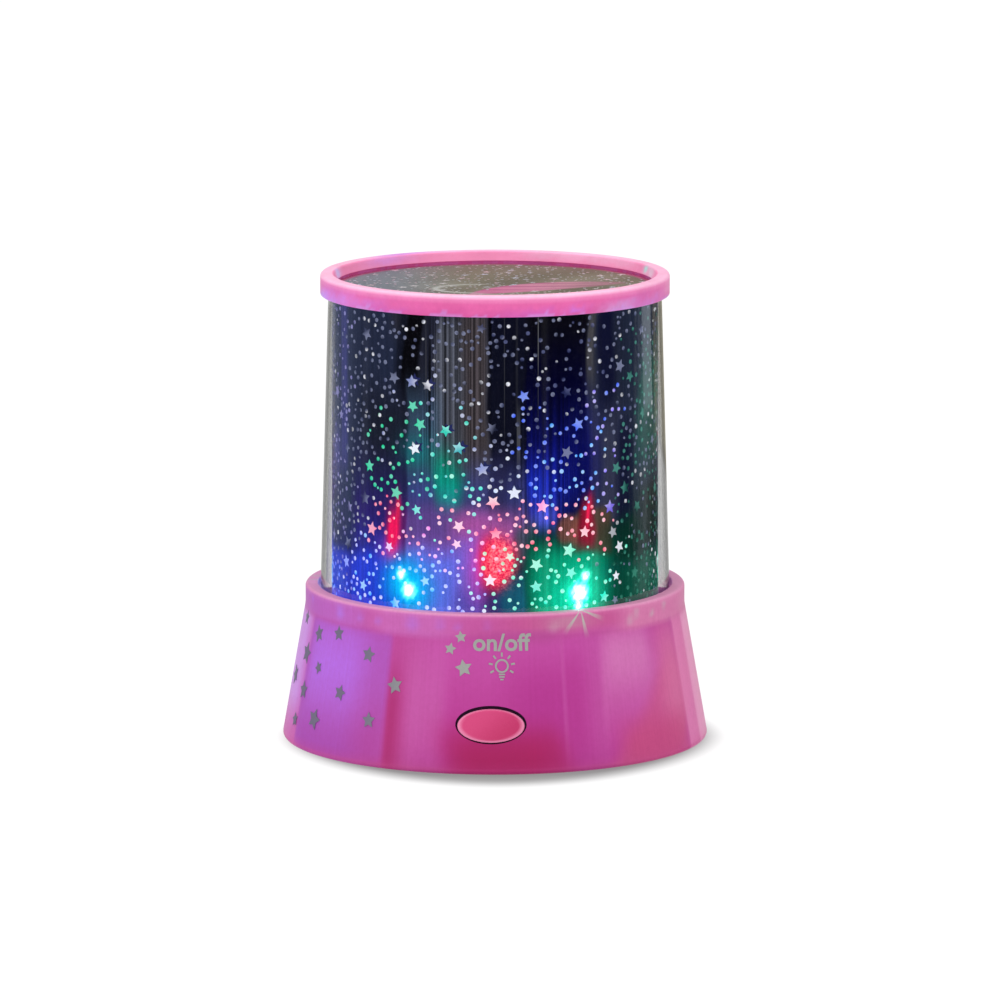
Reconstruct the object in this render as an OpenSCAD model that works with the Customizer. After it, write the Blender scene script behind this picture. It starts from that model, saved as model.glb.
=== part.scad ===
// Star night light projector: a battery base with a coloured LED deck, and a clear
// shade lined with dark star film that lifts off it.
// Millimetres. Z is up, the floor is z = 0 and the button faces -Y.

/* [Base housing] */
// Outer diameter at the foot of the flared base
base_d = 120; // [117:1:130]
// Height of the housing from its lower edge to the top of its rim
base_h = 43.7; // [42.5:0.1:50]
// Height of the upright rim above the flare
rim_h = 5.7; // [4.5:0.1:9]
// Thickness of the rim round the shade
rim_wall = 3.7; // [3.2:0.1:5]
// Depth of the seat that the shade stands in
seat_depth = 1.9; // [1.2:0.1:3]
// Thickness of the ledge under the seat
ledge_t = 2.2; // [1.8:0.1:3]
// Wall of the housing
wall = 2.2; // [1.6:0.1:2.6]
// Rounding of the lower edge
edge_r = 1.5; // [0.8:0.1:2]
// Rounding of the rim and of the top ring
soft_r = 0.9; // [0.4:0.1:1.2]

/* [Shade] */
// Outer diameter of the clear cup at its open lower edge
cup_d = 98.2; // [97:0.1:104]
// Outer diameter of the clear cup at its closed top
cup_top_d = 93.1; // [91:0.1:94]
// Height of the clear cup
cup_h = 86.85; // [70:0.5:110]
// Wall of the clear cup
cup_wall = 1.2; // [0.9:0.1:1.4]
// Thickness of the star film
film_t = 0.25; // [0.15:0.05:0.4]
// Width of the glued overlap where the rolled film meets itself
film_lap = 8; // [4:1:14]
// Height of the pink ring round the top
ring_h = 5.9; // [4.5:0.1:9]
// Wall of the ring outside the cup
ring_wall = 2.25; // [1.6:0.05:3]
// Height of the ring's lip above the cup
lip_t = 2.65; // [1.5:0.05:3.5]
// How far the lip reaches in over the cup
lip_in = 1.35; // [1:0.05:3]
// How far the lip's inner wall slopes in on its way down
lip_slope = 0.8; // [0.2:0.1:1.5]

/* [Light deck] */
// Thickness of the deck
deck_t = 2; // [1.6:0.1:2.4]
// Height of the deck's collar above the seat
collar_h = 4.5; // [3:0.5:8]
// Thickness of the deck's collar
collar_t = 1.5; // [1.2:0.1:2.5]
// Radius of the circle that the LEDs stand on
led_ring_r = 28; // [22:0.5:30]
// Diameter of each LED
led_d = 5; // [4:0.5:5.5]
// Height of each LED from its flange to its tip
led_h = 8.6; // [7:0.2:10]
// Radius of the round circuit board
board_r = 34; // [33:0.5:36]
// Thickness of the circuit boards
board_t = 1.6; // [1:0.2:2]
// Gap between the deck and the circuit board
board_gap = 5.6; // [4.5:0.1:6.5]

/* [Button and switch] */
// Width of the oval button
button_w = 18.5; // [16:0.5:20]
// Height of the oval button
button_h = 9.3; // [8:0.1:10]
// Gap between the button and the housing
button_gap = 0.55; // [0.4:0.05:0.7]
// Height of the button's centre above the floor
button_z = 14.3; // [13:0.1:16]
// Travel of the button
button_travel = 1.5; // [1:0.1:2]
// How far the button stands proud of the housing
button_proud = 0.3; // [0.1:0.1:0.8]
// Thickness of the button's face and skirt
button_t = 1.3; // [1:0.1:1.5]
// How far the button's flange reaches behind the housing wall
flange_w = 1.6; // [1.2:0.1:2]
// Side of the square switch body
switch_w = 8.5; // [7:0.5:9]
// Depth of the switch body
switch_l = 8; // [7:0.5:8.5]
// Radius of the switch plunger
plunger_r = 1.6; // [1.2:0.1:2]

/* [Battery bay] */
// Diameter of one AA cell
cell_d = 14.5; // [13.5:0.1:14.5]
// Length of one AA cell with its nub
cell_l = 50.5; // [44:0.5:50.5]
// Distance between the axes of two cells
cell_pitch = 15.2; // [14.8:0.1:15.6]
// Room for the spring at a cell's flat end
spring_room = 4.7; // [3.5:0.1:5]
// Thickness of the bottom cover
cover_t = 2; // [1.6:0.1:2.6]
// Thickness of the bay's walls and roof
bay_wall = 1.5; // [1.2:0.1:2]
// Thickness of the battery door
door_t = 1.8; // [1.4:0.1:2]
// Radius of the door's hinge barrel
barrel_r = 1.3; // [1.1:0.1:1.4]
// Radius of the door's hinge pins
pin_r = 0.8; // [0.7:0.05:1]

/* [Feet and screws] */
// Diameter of each foot pad
foot_d = 10; // [7:0.5:12]
// How far the foot pads stand below the housing
foot_proud = 0.6; // [0.4:0.1:1.2]
// Core radius of the cover screws
cover_screw_r = 1.25; // [1:0.05:1.5]
// Core radius of the small screws of the deck and the circuit board
small_screw_r = 1; // [0.8:0.05:1.1]

/* [Hidden] */
$fn = 96;
eps = 0.01;
fit = 0.05; // parts of one body that are pressed together
slip = 0.3; // parts that slide or lift past each other
shade_gap = 0.5; // between the cup and the rim

// Levels, from the floor up
z_edge = foot_proud;
z_rim = z_edge + base_h;
z_seat = z_rim - seat_depth;
z_ledge = z_seat - ledge_t;
z_flare = z_rim - rim_h;
z_deck = z_ledge; // top of the deck's floor
z_deck_under = z_deck - deck_t;
z_board_top = z_deck_under - board_gap;
z_board = z_board_top - board_t;
z_cup_top = z_seat + cup_h;
z_ring_top = z_cup_top + lip_t;
z_ring = z_ring_top - ring_h;
cover_inset = 0.8; // how far the cover lies above the housing's lower edge
z_cover = z_edge + cover_inset;
z_cover_top = z_cover + cover_t;

// Radii
base_r = base_d / 2;
cup_r = cup_d / 2;
cup_top_r = cup_top_d / 2;
seat_r = cup_r + shade_gap;
rim_r = seat_r + rim_wall;
film_gap = 0.15;
film_r = min(cup_r, cup_top_r) - cup_wall - film_gap;
collar_gap = 0.4; // between the deck's collar and the film's overlap
ledge_gap = 0.2; // between the collar and the ledge
ear_boss_r = 2.9;
small_head_r = 2.1;
collar_r = min(film_r - 2 * film_t - collar_gap, rim_r - wall - slip - small_head_r - ear_boss_r - ledge_gap);
ledge_r = collar_r + ledge_gap;
lean = (base_r - rim_r) / (z_flare - z_edge - edge_r); // how much the flare narrows for each mm up
function flare_r(z) = base_r - lean * (z - z_edge - edge_r);
shell_r = flare_r(z_cover_top) - wall; // inside of the housing's foot, where the cover lies
function cup_r_at(z) = cup_r + (cup_top_r - cup_r) * (z - z_seat) / cup_h;

// The bosses that hold the bottom cover
boss_r = 3.4;
boss_sunk = 0.6; // how far each boss stands in the rim's wall
boss_rib_w = 1.6;
boss_rib_up = 4; // from the boss's foot to its rib
cover_pad_r = 5;
boss_at_r = min(rim_r - wall - boss_r + boss_sunk, shell_r - slip - cover_pad_r);
boss_angles = [45, 135, 225, 315];
cover_pad_t = 2; // extra thickness of the cover at its screws
z_boss = z_cover_top + cover_pad_t;
cover_screw_head_r = 2.8;
cover_screw_head_h = 2;
cover_screw_deep = 2.2; // depth of the counterbore under each cover screw's head
cover_screw_bite = 9; // length of thread in the boss
screw_hole_spare = 1;
side_angles = [0, 90, 180, 270]; // for the foot pads and the deck's ears
foot_in = 8.5; // from the housing's wall in to each pad's centre
foot_at_r = shell_r - foot_in;
foot_sunk = 0.6; // how far each pad sits in the cover
foot_edge_r = 0.4;

// The ears that hold the deck under the ledge
ear_w = 8;
ear_t = 2;
ear_boss_h = 2;
ear_screw_r = ledge_r + ear_boss_r;
ear_end_r = ear_screw_r + ear_boss_r;
ear_root_in = 8; // from the collar in to the ring below the deck that carries the ears
ear_root_r = collar_r - ear_root_in;
ear_ring_w = 5;
z_ear_top = z_ledge - ear_boss_h;
small_head_h = 1.3;

// LEDs and the board that carries them, with places as angles from +X
led_angles = [210, 330, 90]; // blue, green, red
led_flange_h = 1;
led_flange_w = 0.4;
led_hole_gap = 0.2;
z_led = z_deck_under - led_flange_h - fit;
led_pitch = 2.54; // distance between an LED's two leads
lead_w = 0.5;
tail = 1.4; // solder tails below a board
standoff_angles = [30, 150, 270];
standoff_at_r = 22;
standoff_r = 3;
board_screw_bite = 4.1; // length of thread in a standoff
deck_screw_bite = 3; // length of thread in the ledge

// Battery bay
bay_y = 2; // the bay lies a little behind the centre, so that the switch has room
cells = 3;
contact_t = 0.4;
cell_gap = 0.4; // round the cells
bay_l = cell_l + spring_room + 2 * contact_t;
bay_w = (cells - 1) * cell_pitch + cell_d + 2 * cell_gap;
door_z = z_cover;
z_cell = door_z + door_t + cell_gap + cell_d / 2;
z_roof = z_cell + cell_d / 2 + cell_gap;
contact_h = 10;
lug_w = 4;
lug_rise = 3; // height of the solder lugs above the bay
lug_z = z_roof + bay_wall + lug_rise;
lug_x = bay_l / 2 - contact_t / 2;
function lug_side(i) = i == 0 ? 1 : -1;
spring_wire_r = 0.4;
door_screw_slip = 0.35;
function cell_y(i) = bay_y + (i - (cells - 1) / 2) * cell_pitch;
function cell_side(i) = i % 2 == 0 ? 1 : -1; // the end where a cell's nub is

// Battery door
door_rest = 0.5; // overlap of the door on the bay's walls
door_w = bay_l + 2 * bay_wall + 2 * door_rest;
door_back = bay_y + bay_w / 2 + bay_wall;
door_front = bay_y - bay_w / 2 - bay_wall - door_rest;
z_pocket = door_z + door_t + slip; // ceiling of the pocket that the door lies in
pocket_wall = 1.5;
hinge_behind = 2.5; // from the door's back edge to the hinge's axis
hinge_up = 1.5;
hinge_y = door_back + hinge_behind;
hinge_z = door_z + hinge_up;
barrel_l = 44;
pin_l = 2.6;
ear_block = 3;
ear_front = 1.5; // how far the hinge ears reach before, behind and above the pins' axis
ear_back = 2.5;
ear_above = 2.2;
hinge_swing_gap = 0.6; // lets the door's back edge turn past the cover
door_tab_w = 14;
door_screw_ahead = 6; // from the door's front edge to its screw
door_tab_ahead = 5; // from the screw to the tab's end
door_screw_y = door_front - door_screw_ahead;
door_tab_end = door_screw_y - door_tab_ahead;
door_screw_r = 1.25;
door_head_r = 2.6;
door_head_h = 1.5;
door_head_deep = 1.7; // depth of the screw's counterbore
door_screw_tip = 6.6; // above the door's outer face
door_collar_r = 3.4;
door_collar_h = 1.4;
door_boss_r = 5.2;
door_boss_roof = 2.4; // solid part of the boss above the screw's hole
door_hole_spare = 0.8;
door_boss_top = door_z + door_screw_tip + door_hole_spare + door_boss_roof;
rib_pitch = 2.4;
rib_w = 1;
rib_l = 32;
rib_deep = 0.4;
rib_start = 9;

// Button, switch and the board that carries it
flange_gap = 0.25; // between the button's flange and the housing's wall
switch_board_w = 20;
switch_board_h = 15;
switch_clear = 0.91; // between the switch's board and the boss of the door's screw
switch_board_back = door_screw_y - door_boss_r - switch_clear;
switch_board_front = switch_board_back - board_t;
switch_front = switch_board_front - switch_l;
plunger_out = 3.8; // how far the plunger stands out of the switch at rest
plunger_in = 2.4; // how much of the plunger is inside the switch at rest
plunger_front = switch_front - plunger_out;
switch_floor = 1.6; // spare depth behind the pressed plunger
pin_x = 2.5; // the switch has two rows of three pins
pin_pitch = 2;
pin_w = 0.6;
stem_r = 2.4;
stem_rib = 1.2;
post_w = 3.8;
post_d = 5.2;
post_grip = 1.4; // how far a post grips the board's edge
switch_board_z = button_z - switch_board_h / 2;

// Leads inside the base, from the lugs and the switch's board to the underside of the LED board
wire_r = 0.65;
touch = 0.1;
lead_rise = 1.6; // straight stretch above a lug
lead_dip = 4.2; // how far the leads hang below the board
lead_turn = 2.4; // straight stretch below the board
red_bend = [25, -11];
red_end = [18, -7];
black_bend = [-25, 13];
black_end = [-16, 4];
switch_lead_out = [5, 2.2, 5.5, 6.4]; // half spacing, reach behind the board, lower and upper height
switch_bend = [5.5, -30];
switch_end = [6, -28.5];
switch_dip = 7;
function at(p, z) = [p[0], p[1], z];
red_route = [
    [lug_x, cell_y(0), lug_z + touch], [lug_x, cell_y(0), lug_z + lead_rise],
    at(red_bend, z_board - lead_dip), at(red_end, z_board - lead_turn), at(red_end, z_board - touch)];
black_route = [
    [-lug_x, cell_y(cells - 1), lug_z + touch], [-lug_x, cell_y(cells - 1), lug_z + lead_rise],
    at(black_bend, z_board - lead_dip), at(black_end, z_board - 1.2 * lead_turn),
    at(black_end, z_board - touch)];
switch_route = [
    [switch_lead_out[0], switch_board_back + touch, button_z + switch_lead_out[2]],
    [switch_lead_out[0], switch_board_back + switch_lead_out[1], button_z + switch_lead_out[3]],
    at(switch_bend, z_board - switch_dip), at(switch_end, z_board - lead_turn),
    at(switch_end, z_board - touch)];

// Shade
cup_edge_r = 0.8;
z_film = z_seat + 0.2; // the film's lower edge, just off the seat
z_disc = z_cup_top - cup_wall - film_t;

// ---------- shared shapes ----------

// Points of a quarter arc from angle a to angle b, for a rounded corner of a profile
function arc(x, y, r, a, b, n = 6) =
    [for (i = [0:n]) let (t = a + (b - a) * i / n) [x + r * cos(t), y + r * sin(t)]];

module ring_of(angles, r) {
    for (a = angles)
        rotate([0, 0, a]) translate([r, 0, 0]) children();
}

// An oval block along -Y through the housing's wall, as wide and high as the button plus a margin
module oval_bar(margin) {
    steps = 64;
    translate([0, -base_r / 2, button_z]) rotate([90, 0, 0]) linear_extrude(base_r)
        polygon([for (i = [0:steps - 1]) [
            (button_w / 2 + margin) * cos(360 * i / steps),
            (button_h / 2 + margin) * sin(360 * i / steps)]]);
}

// The solid inside the flare's outer surface moved out by a distance
module flare_solid(out) {
    rotate_extrude() polygon([[0, 0], [flare_r(0) + out, 0], [rim_r + out, z_flare], [0, z_flare]]);
}

// A self-tapping screw standing on its tip side up: head below z = 0, shank above it
module screw(head_r, head_h, shank_r, shank_l) {
    edge = 0.5;
    slot = [1.2 * head_r, 0.26 * head_r, 0.6 * head_h];
    difference() {
        union() {
            translate([0, 0, -head_h]) rotate_extrude() polygon(concat(
                [[0, 0]], arc(head_r - edge, edge, edge, 270, 360, 4), [[head_r, head_h], [0, head_h]]));
            translate([0, 0, -eps]) cylinder(r = shank_r, h = shank_l - shank_r + eps);
            translate([0, 0, shank_l - shank_r]) cylinder(r1 = shank_r, r2 = 0.3 * shank_r, h = shank_r);
        }
        for (a = [0, 90]) rotate([0, 0, a]) translate([-slot[0] / 2, -slot[1] / 2, -head_h - eps]) cube(slot);
    }
}

// Catmull-Rom curve through the points, with a number of steps between each two
function curve(p, steps) = [
    for (i = [0:len(p) - 2]) for (k = [0:steps - 1])
        let (t = k / steps, a = p[max(i - 1, 0)], b = p[i], c = p[i + 1], d = p[min(i + 2, len(p) - 1)])
            b + t / 2 * (c - a + t * (2 * a - 5 * b + 4 * c - d + t * (3 * b - a - 3 * c + d))),
    p[len(p) - 1]
];
function unit(v) = v / norm(v);
function heading(p, i) = unit(p[min(i + 1, len(p) - 1)] - p[max(i - 1, 0)]);

// A round tube along the points; side is a direction that the tube never runs along
module tube(p, r, side, n = 8) {
    rings = [for (i = [0:len(p) - 1])
        let (t = heading(p, i), u = unit(cross(t, side)), v = cross(t, u))
            for (k = [0:n - 1]) p[i] + r * (u * cos(360 * k / n) + v * sin(360 * k / n))];
    last = (len(p) - 1) * n;
    polyhedron(rings, concat(
        [[for (k = [0:n - 1]) k]],
        [for (i = [0:len(p) - 2]) for (k = [0:n - 1])
            [i * n + k, (i + 1) * n + k, (i + 1) * n + (k + 1) % n, i * n + (k + 1) % n]],
        [[for (k = [n - 1:-1:0]) last + k]]), convexity = 8);
}

// ---------- base housing ----------

module base_housing() {
    color("hotpink", 0.9) difference() {
        union() {
            difference() {
                housing_shell();
                oval_bar(button_gap);
            }
            intersection() {
                flare_solid(-0.6);
                ring_of(boss_angles, boss_at_r) union() {
                    translate([0, 0, z_boss]) cylinder(r = boss_r, h = z_ledge - z_boss + 0.5);
                    translate([0, -boss_rib_w / 2, z_boss + boss_rib_up])
                        cube([base_r, boss_rib_w, z_ledge - z_boss - boss_rib_up]);
                }
            }
            ring_of(side_angles, ear_screw_r)
                translate([0, 0, z_ear_top]) cylinder(r = ear_boss_r, h = ear_boss_h + 0.5);
        }
        ring_of(boss_angles, boss_at_r)
            translate([0, 0, z_boss - 1])
                cylinder(r = cover_screw_r + fit, h = 1 + cover_screw_bite + screw_hole_spare);
        ring_of(side_angles, ear_screw_r)
            translate([0, 0, z_ear_top - 1])
                cylinder(r = small_screw_r + fit, h = 1 + deck_screw_bite + screw_hole_spare / 4);
    }
}

module housing_shell() {
    rotate_extrude() polygon(concat(
        [[shell_r, z_edge]],
        arc(base_r - edge_r, z_edge + edge_r, edge_r, 270, 360),
        [[rim_r, z_flare]],
        arc(rim_r - soft_r, z_rim - soft_r, soft_r, 0, 90),
        arc(seat_r + soft_r / 2, z_rim - soft_r / 2, soft_r / 2, 90, 180, 4),
        [[seat_r, z_seat], [ledge_r, z_seat], [ledge_r, z_ledge],
         [rim_r - wall, z_ledge], [rim_r - wall, z_flare], [shell_r, z_cover_top]]));
}

// ---------- bottom cover, battery door and feet ----------

module bottom_cover() {
    color("pink") difference() {
        union() {
            difference() {
                union() {
                    translate([0, 0, z_cover]) cylinder(r = shell_r - slip, h = cover_t);
                    door_outline(slip + pocket_wall, z_cover, z_pocket + pocket_wall - z_cover);
                    bay_block();
                }
                door_outline(slip, z_cover - 1, z_pocket - z_cover + 1);
                bay_space();
                along_hinge(barrel_l / 2 + slip) circle(r = barrel_r + slip);
            }
            ring_of(boss_angles, boss_at_r)
                translate([0, 0, z_cover]) cylinder(r = cover_pad_r, h = cover_t + cover_pad_t);
            hinge_ears();
            translate([0, door_screw_y, z_pocket]) cylinder(r = door_boss_r, h = door_boss_top - z_pocket);
            switch_posts();
        }
        ring_of(boss_angles, boss_at_r) {
            translate([0, 0, z_cover - 1]) cylinder(r = cover_screw_r + slip, h = cover_t + cover_pad_t + 2);
            translate([0, 0, z_cover - 1]) cylinder(r = cover_screw_head_r + slip, h = 1 + cover_screw_deep);
        }
        ring_of(side_angles, foot_at_r)
            translate([0, 0, z_cover - 1]) cylinder(r = foot_d / 2 + fit, h = foot_sunk + 1);
        translate([0, door_screw_y, z_cover - 1])
            cylinder(r = door_collar_r + slip, h = 1 + door_t + door_collar_h + slip);
        translate([0, door_screw_y, z_cover])
            cylinder(r = door_screw_r + door_screw_slip, h = door_screw_tip + door_hole_spare);
        along_hinge(barrel_l / 2 + pin_l + slip) circle(r = pin_r + fit);
        for (i = [0, cells - 1]) lug(i, slip);
    }
}

// Outside and inside of the battery bay, which is open below
module bay_block() {
    translate([-bay_l / 2 - bay_wall, bay_y - bay_w / 2 - bay_wall, z_pocket])
        cube([bay_l + 2 * bay_wall, bay_w + 2 * bay_wall, z_roof + bay_wall - z_pocket]);
}
module bay_space() {
    translate([-bay_l / 2, bay_y - bay_w / 2, z_cover - 1]) cube([bay_l, bay_w, z_roof - z_cover + 1]);
}

// A round bar along the hinge's axis, from minus to plus a half length
module along_hinge(half) {
    translate([-half, hinge_y, hinge_z]) rotate([90, 0, 90]) linear_extrude(2 * half) children();
}

// The strip that stands up through the bay's roof, where a lead is soldered to the first or last contact
module lug(i, margin) {
    translate([lug_side(i) * lug_x - contact_t / 2 - margin, cell_y(i) - lug_w / 2 - margin, z_cell])
        cube([contact_t + 2 * margin, lug_w + 2 * margin, lug_z - z_cell]);
}

// Plan of the door, grown by a gap
module door_outline(gap, z, h) {
    swing = gap > 0 ? hinge_swing_gap : 0;
    translate([-door_w / 2 - gap, door_front - gap, z])
        cube([door_w + 2 * gap, door_back - door_front + 2 * gap + swing, h]);
    translate([-door_tab_w / 2 - gap, door_tab_end - gap, z])
        cube([door_tab_w + 2 * gap, door_front - door_tab_end + 2 * gap, h]);
    translate([-barrel_l / 2 - gap, door_back - 1, z])
        cube([barrel_l + 2 * gap, hinge_y - door_back + 1 + (gap > 0 ? barrel_r + 2 * gap : 0), h]);
}

module hinge_ears() {
    for (s = [-1, 1])
        translate([s * (barrel_l / 2 + slip + ear_block / 2) - ear_block / 2, hinge_y - ear_front, z_cover])
            cube([ear_block, ear_front + ear_back, hinge_z - z_cover + ear_above]);
}

module switch_posts() {
    x_in = switch_board_w / 2 - post_grip;
    for (s = [0, 1]) mirror([s, 0, 0]) difference() {
        translate([x_in, switch_board_front + board_t / 2 - post_d / 2, z_cover])
            cube([post_w, post_d, switch_board_z + switch_board_h - z_cover]);
        translate([x_in - 1, switch_board_front - fit, switch_board_z])
            cube([post_grip + 1 + fit, board_t + 2 * fit, switch_board_h + 1]);
    }
}

module battery_door() {
    color("pink") difference() {
        union() {
            difference() {
                door_outline(0, door_z, door_t);
                for (k = [-2:2])
                    translate([-rib_l / 2, door_front + rib_start + rib_pitch * k, door_z - 1])
                        cube([rib_l, rib_w, 1 + rib_deep]);
            }
            along_hinge(barrel_l / 2) circle(r = barrel_r);
            along_hinge(barrel_l / 2 + pin_l) circle(r = pin_r);
            translate([0, door_screw_y, door_z]) cylinder(r = door_collar_r, h = door_t + door_collar_h);
        }
        translate([0, door_screw_y, door_z - 1]) {
            cylinder(r = door_screw_r + slip, h = door_t + door_collar_h + 2);
            cylinder(r = door_head_r + slip, h = 1 + door_head_deep);
        }
    }
}

module door_screw() {
    color("silver") translate([0, door_screw_y, door_z + door_head_deep])
        screw(door_head_r, door_head_h, door_screw_r, door_screw_tip - door_head_deep);
}

module cover_screws() {
    z_head = z_cover + cover_screw_deep;
    color("silver") ring_of(boss_angles, boss_at_r) translate([0, 0, z_head])
        screw(cover_screw_head_r, cover_screw_head_h, cover_screw_r, z_boss + cover_screw_bite - z_head);
}

module foot_pads() {
    r = foot_d / 2;
    top = z_cover + foot_sunk;
    color("dimgray") ring_of(side_angles, foot_at_r) rotate_extrude() polygon(concat(
        [[0, 0]], arc(r - foot_edge_r, foot_edge_r, foot_edge_r, 270, 360, 4), [[r, top], [0, top]]));
}

// ---------- cells and contacts ----------

module battery(i) {
    nub_r = 2.7;
    nub_h = 1;
    shoulder = 1.6;
    rim = 0.4;
    r = cell_d / 2;
    color("seagreen") translate([cell_side(i) * (bay_l / 2 - contact_t), cell_y(i), z_cell])
        rotate([0, -90 * cell_side(i), 0]) rotate_extrude() polygon(concat(
            [[0, 0], [nub_r, 0], [nub_r, nub_h], [r - shoulder, nub_h]],
            arc(r - rim, nub_h + rim, rim, 270, 360, 3),
            arc(r - rim, cell_l - rim, rim, 0, 90, 3),
            [[0, cell_l]]));
}

// Conical springs, each from its contact plate to the flat end of a cell
module battery_springs() {
    turns = 3.5;
    rest_gap = 0.02;
    steps = 44;
    wide_r = 4.2;
    narrow_r = 2.6;
    reach = spring_room - 2 * (spring_wire_r + rest_gap);
    color("silver") for (i = [0:cells - 1]) {
        side = -cell_side(i);
        x_from = bay_l / 2 - contact_t - spring_wire_r - rest_gap;
        tube([for (k = [0:steps])
            let (t = k / steps, r = wide_r + (narrow_r - wide_r) * t, a = 360 * turns * t)
                [side * (x_from - reach * t), cell_y(i) + r * cos(a), z_cell + r * sin(a)]],
            spring_wire_r, [1, 0, 0], 6);
    }
}

// A spring-steel plate on the bay's end wall, behind one cell or across two
module contact_plate(side, i_from, i_to) {
    translate([side * lug_x - contact_t / 2, cell_y(i_from) - contact_h / 2, z_cell - contact_h / 2])
        cube([contact_t, cell_y(i_to) - cell_y(i_from) + contact_h, contact_h]);
}

module contact_plates() {
    color("silver") {
        for (i = [0, cells - 1]) {
            contact_plate(lug_side(i), i, i);
            lug(i, 0);
        }
        for (i = [0:cells - 2]) contact_plate(-cell_side(i), i, i + 1);
    }
}

// ---------- light deck and its electronics ----------

// A round wall or plate between two radii and two heights
module band(r_in, r_out, z_low, z_high) {
    rotate_extrude() translate([r_in, z_low]) square([r_out - r_in, z_high - z_low]);
}

module light_deck() {
    color("white") difference() {
        union() {
            translate([0, 0, z_deck_under]) cylinder(r = collar_r, h = deck_t);
            band(collar_r - collar_t, collar_r, z_deck_under, z_seat + collar_h);
            band(ear_root_r, ear_root_r + ear_ring_w, z_ear_top - ear_t, z_deck_under + eps);
            ring_of(side_angles, ear_root_r)
                translate([0, -ear_w / 2, z_ear_top - ear_t]) cube([ear_end_r - ear_root_r, ear_w, ear_t]);
            ring_of(standoff_angles, standoff_at_r)
                translate([0, 0, z_board_top]) cylinder(r = standoff_r, h = board_gap + eps);
        }
        ring_of(led_angles, led_ring_r)
            translate([0, 0, z_deck_under - 1]) cylinder(r = led_d / 2 + led_hole_gap, h = deck_t + 2);
        ring_of(side_angles, ear_screw_r)
            translate([0, 0, z_ear_top - ear_t - 1]) cylinder(r = small_screw_r + slip, h = ear_t + 2);
        ring_of(standoff_angles, standoff_at_r) translate([0, 0, z_board_top - 1])
            cylinder(r = small_screw_r + fit, h = 1 + board_screw_bite + screw_hole_spare / 2);
    }
}

module deck_screws() {
    color("silver") ring_of(side_angles, ear_screw_r) translate([0, 0, z_ear_top - ear_t])
        screw(small_head_r, small_head_h, small_screw_r, ear_t + deck_screw_bite);
}

module led_board() {
    color("darkgreen") difference() {
        translate([0, 0, z_board]) cylinder(r = board_r, h = board_t);
        ring_of(standoff_angles, standoff_at_r)
            translate([0, 0, z_board - 1]) cylinder(r = small_screw_r + slip, h = board_t + 2);
        ring_of(led_angles, led_ring_r) for (s = [-1, 1])
            translate([0, s * led_pitch / 2, z_board - 1]) cylinder(r = lead_w * 0.75, h = board_t + 2);
    }
}

module board_screws() {
    color("silver") ring_of(standoff_angles, standoff_at_r) translate([0, 0, z_board])
        screw(small_head_r, small_head_h, small_screw_r, board_t + board_screw_bite);
}

module led(i, tint) {
    r = led_d / 2;
    lead_l = z_led - z_board + tail;
    color(tint) ring_of([led_angles[i]], led_ring_r) translate([0, 0, z_led]) {
        rotate_extrude() polygon(concat(
            [[0, 0], [r + led_flange_w, 0], [r + led_flange_w, led_flange_h], [r, led_flange_h]],
            arc(0, led_h - r, r, 0, 90, 12)));
        for (s = [-1, 1])
            translate([-lead_w / 2, (s * led_pitch - lead_w) / 2, -lead_l])
                cube([lead_w, lead_w, lead_l + eps]);
    }
}

// Three resistors side by side on the LED board
module resistors() {
    body_r = 1.2;
    body_l = 6.3;
    wire = 0.3;
    span = 10;
    pitch = 6;
    lie = body_r + wire; // height of the axis above the board
    color("tan") for (k = [-1:1]) translate([0, pitch * k, z_board_top]) {
        translate([-body_l / 2, 0, lie]) rotate([0, 90, 0]) cylinder(r = body_r, h = body_l);
        translate([-span / 2, 0, lie]) rotate([0, 90, 0]) cylinder(r = wire, h = span, $fn = 16);
        for (s = [-1, 1]) translate([s * span / 2, 0, 0]) cylinder(r = wire, h = lie, $fn = 16);
    }
}

// An eight-legged chip that drives the LEDs
module controller_chip() {
    body = [4, 5, 1.5];
    leg = [6, 0.4, 0.5];
    leg_pitch = 1.27;
    chip_x = 16;
    color("black") translate([chip_x, 0, z_board_top]) {
        translate([-body[0] / 2, -body[1] / 2, leg[2] / 2]) cube(body);
        for (k = [-1.5:1.5]) translate([-leg[0] / 2, k * leg_pitch - leg[1] / 2, 0]) cube(leg);
    }
}

// ---------- button and switch ----------

module button_cap() {
    back = wall + flange_gap + button_t; // depth of the flange's inner face behind the housing's surface
    color("hotpink") union() {
        // face and skirt
        difference() {
            intersection() {
                oval_bar(0);
                flare_solid(button_proud);
            }
            flare_solid(-back);
            intersection() {
                oval_bar(-button_t);
                flare_solid(button_proud - button_t);
            }
        }
        // flange that keeps the button in
        difference() {
            intersection() {
                oval_bar(flange_w + button_gap);
                flare_solid(-wall - flange_gap);
            }
            flare_solid(-back);
            oval_bar(-button_t);
        }
        // stem to the switch, and the rib that ties it to the skirt
        intersection() {
            translate([0, plunger_front - fit, button_z]) rotate([90, 0, 0])
                cylinder(r = stem_r, h = base_r / 2);
            flare_solid(button_proud - button_t / 2);
        }
        intersection() {
            translate([-button_w / 2, -base_r, button_z - stem_rib / 2])
                cube([button_w, base_r / 2, stem_rib]);
            oval_bar(-button_t / 2);
            difference() {
                flare_solid(button_proud - button_t / 2);
                flare_solid(-back);
            }
        }
    }
}

module switch_plunger() {
    color("white") translate([0, plunger_front, button_z]) rotate([-90, 0, 0])
        cylinder(r = plunger_r, h = plunger_out + plunger_in);
}

// Places its children at the switch's six pins
module at_switch_pins() {
    for (x = [-pin_x, pin_x]) for (k = [-1:1]) translate([x, 0, button_z + k * pin_pitch]) children();
}

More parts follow.
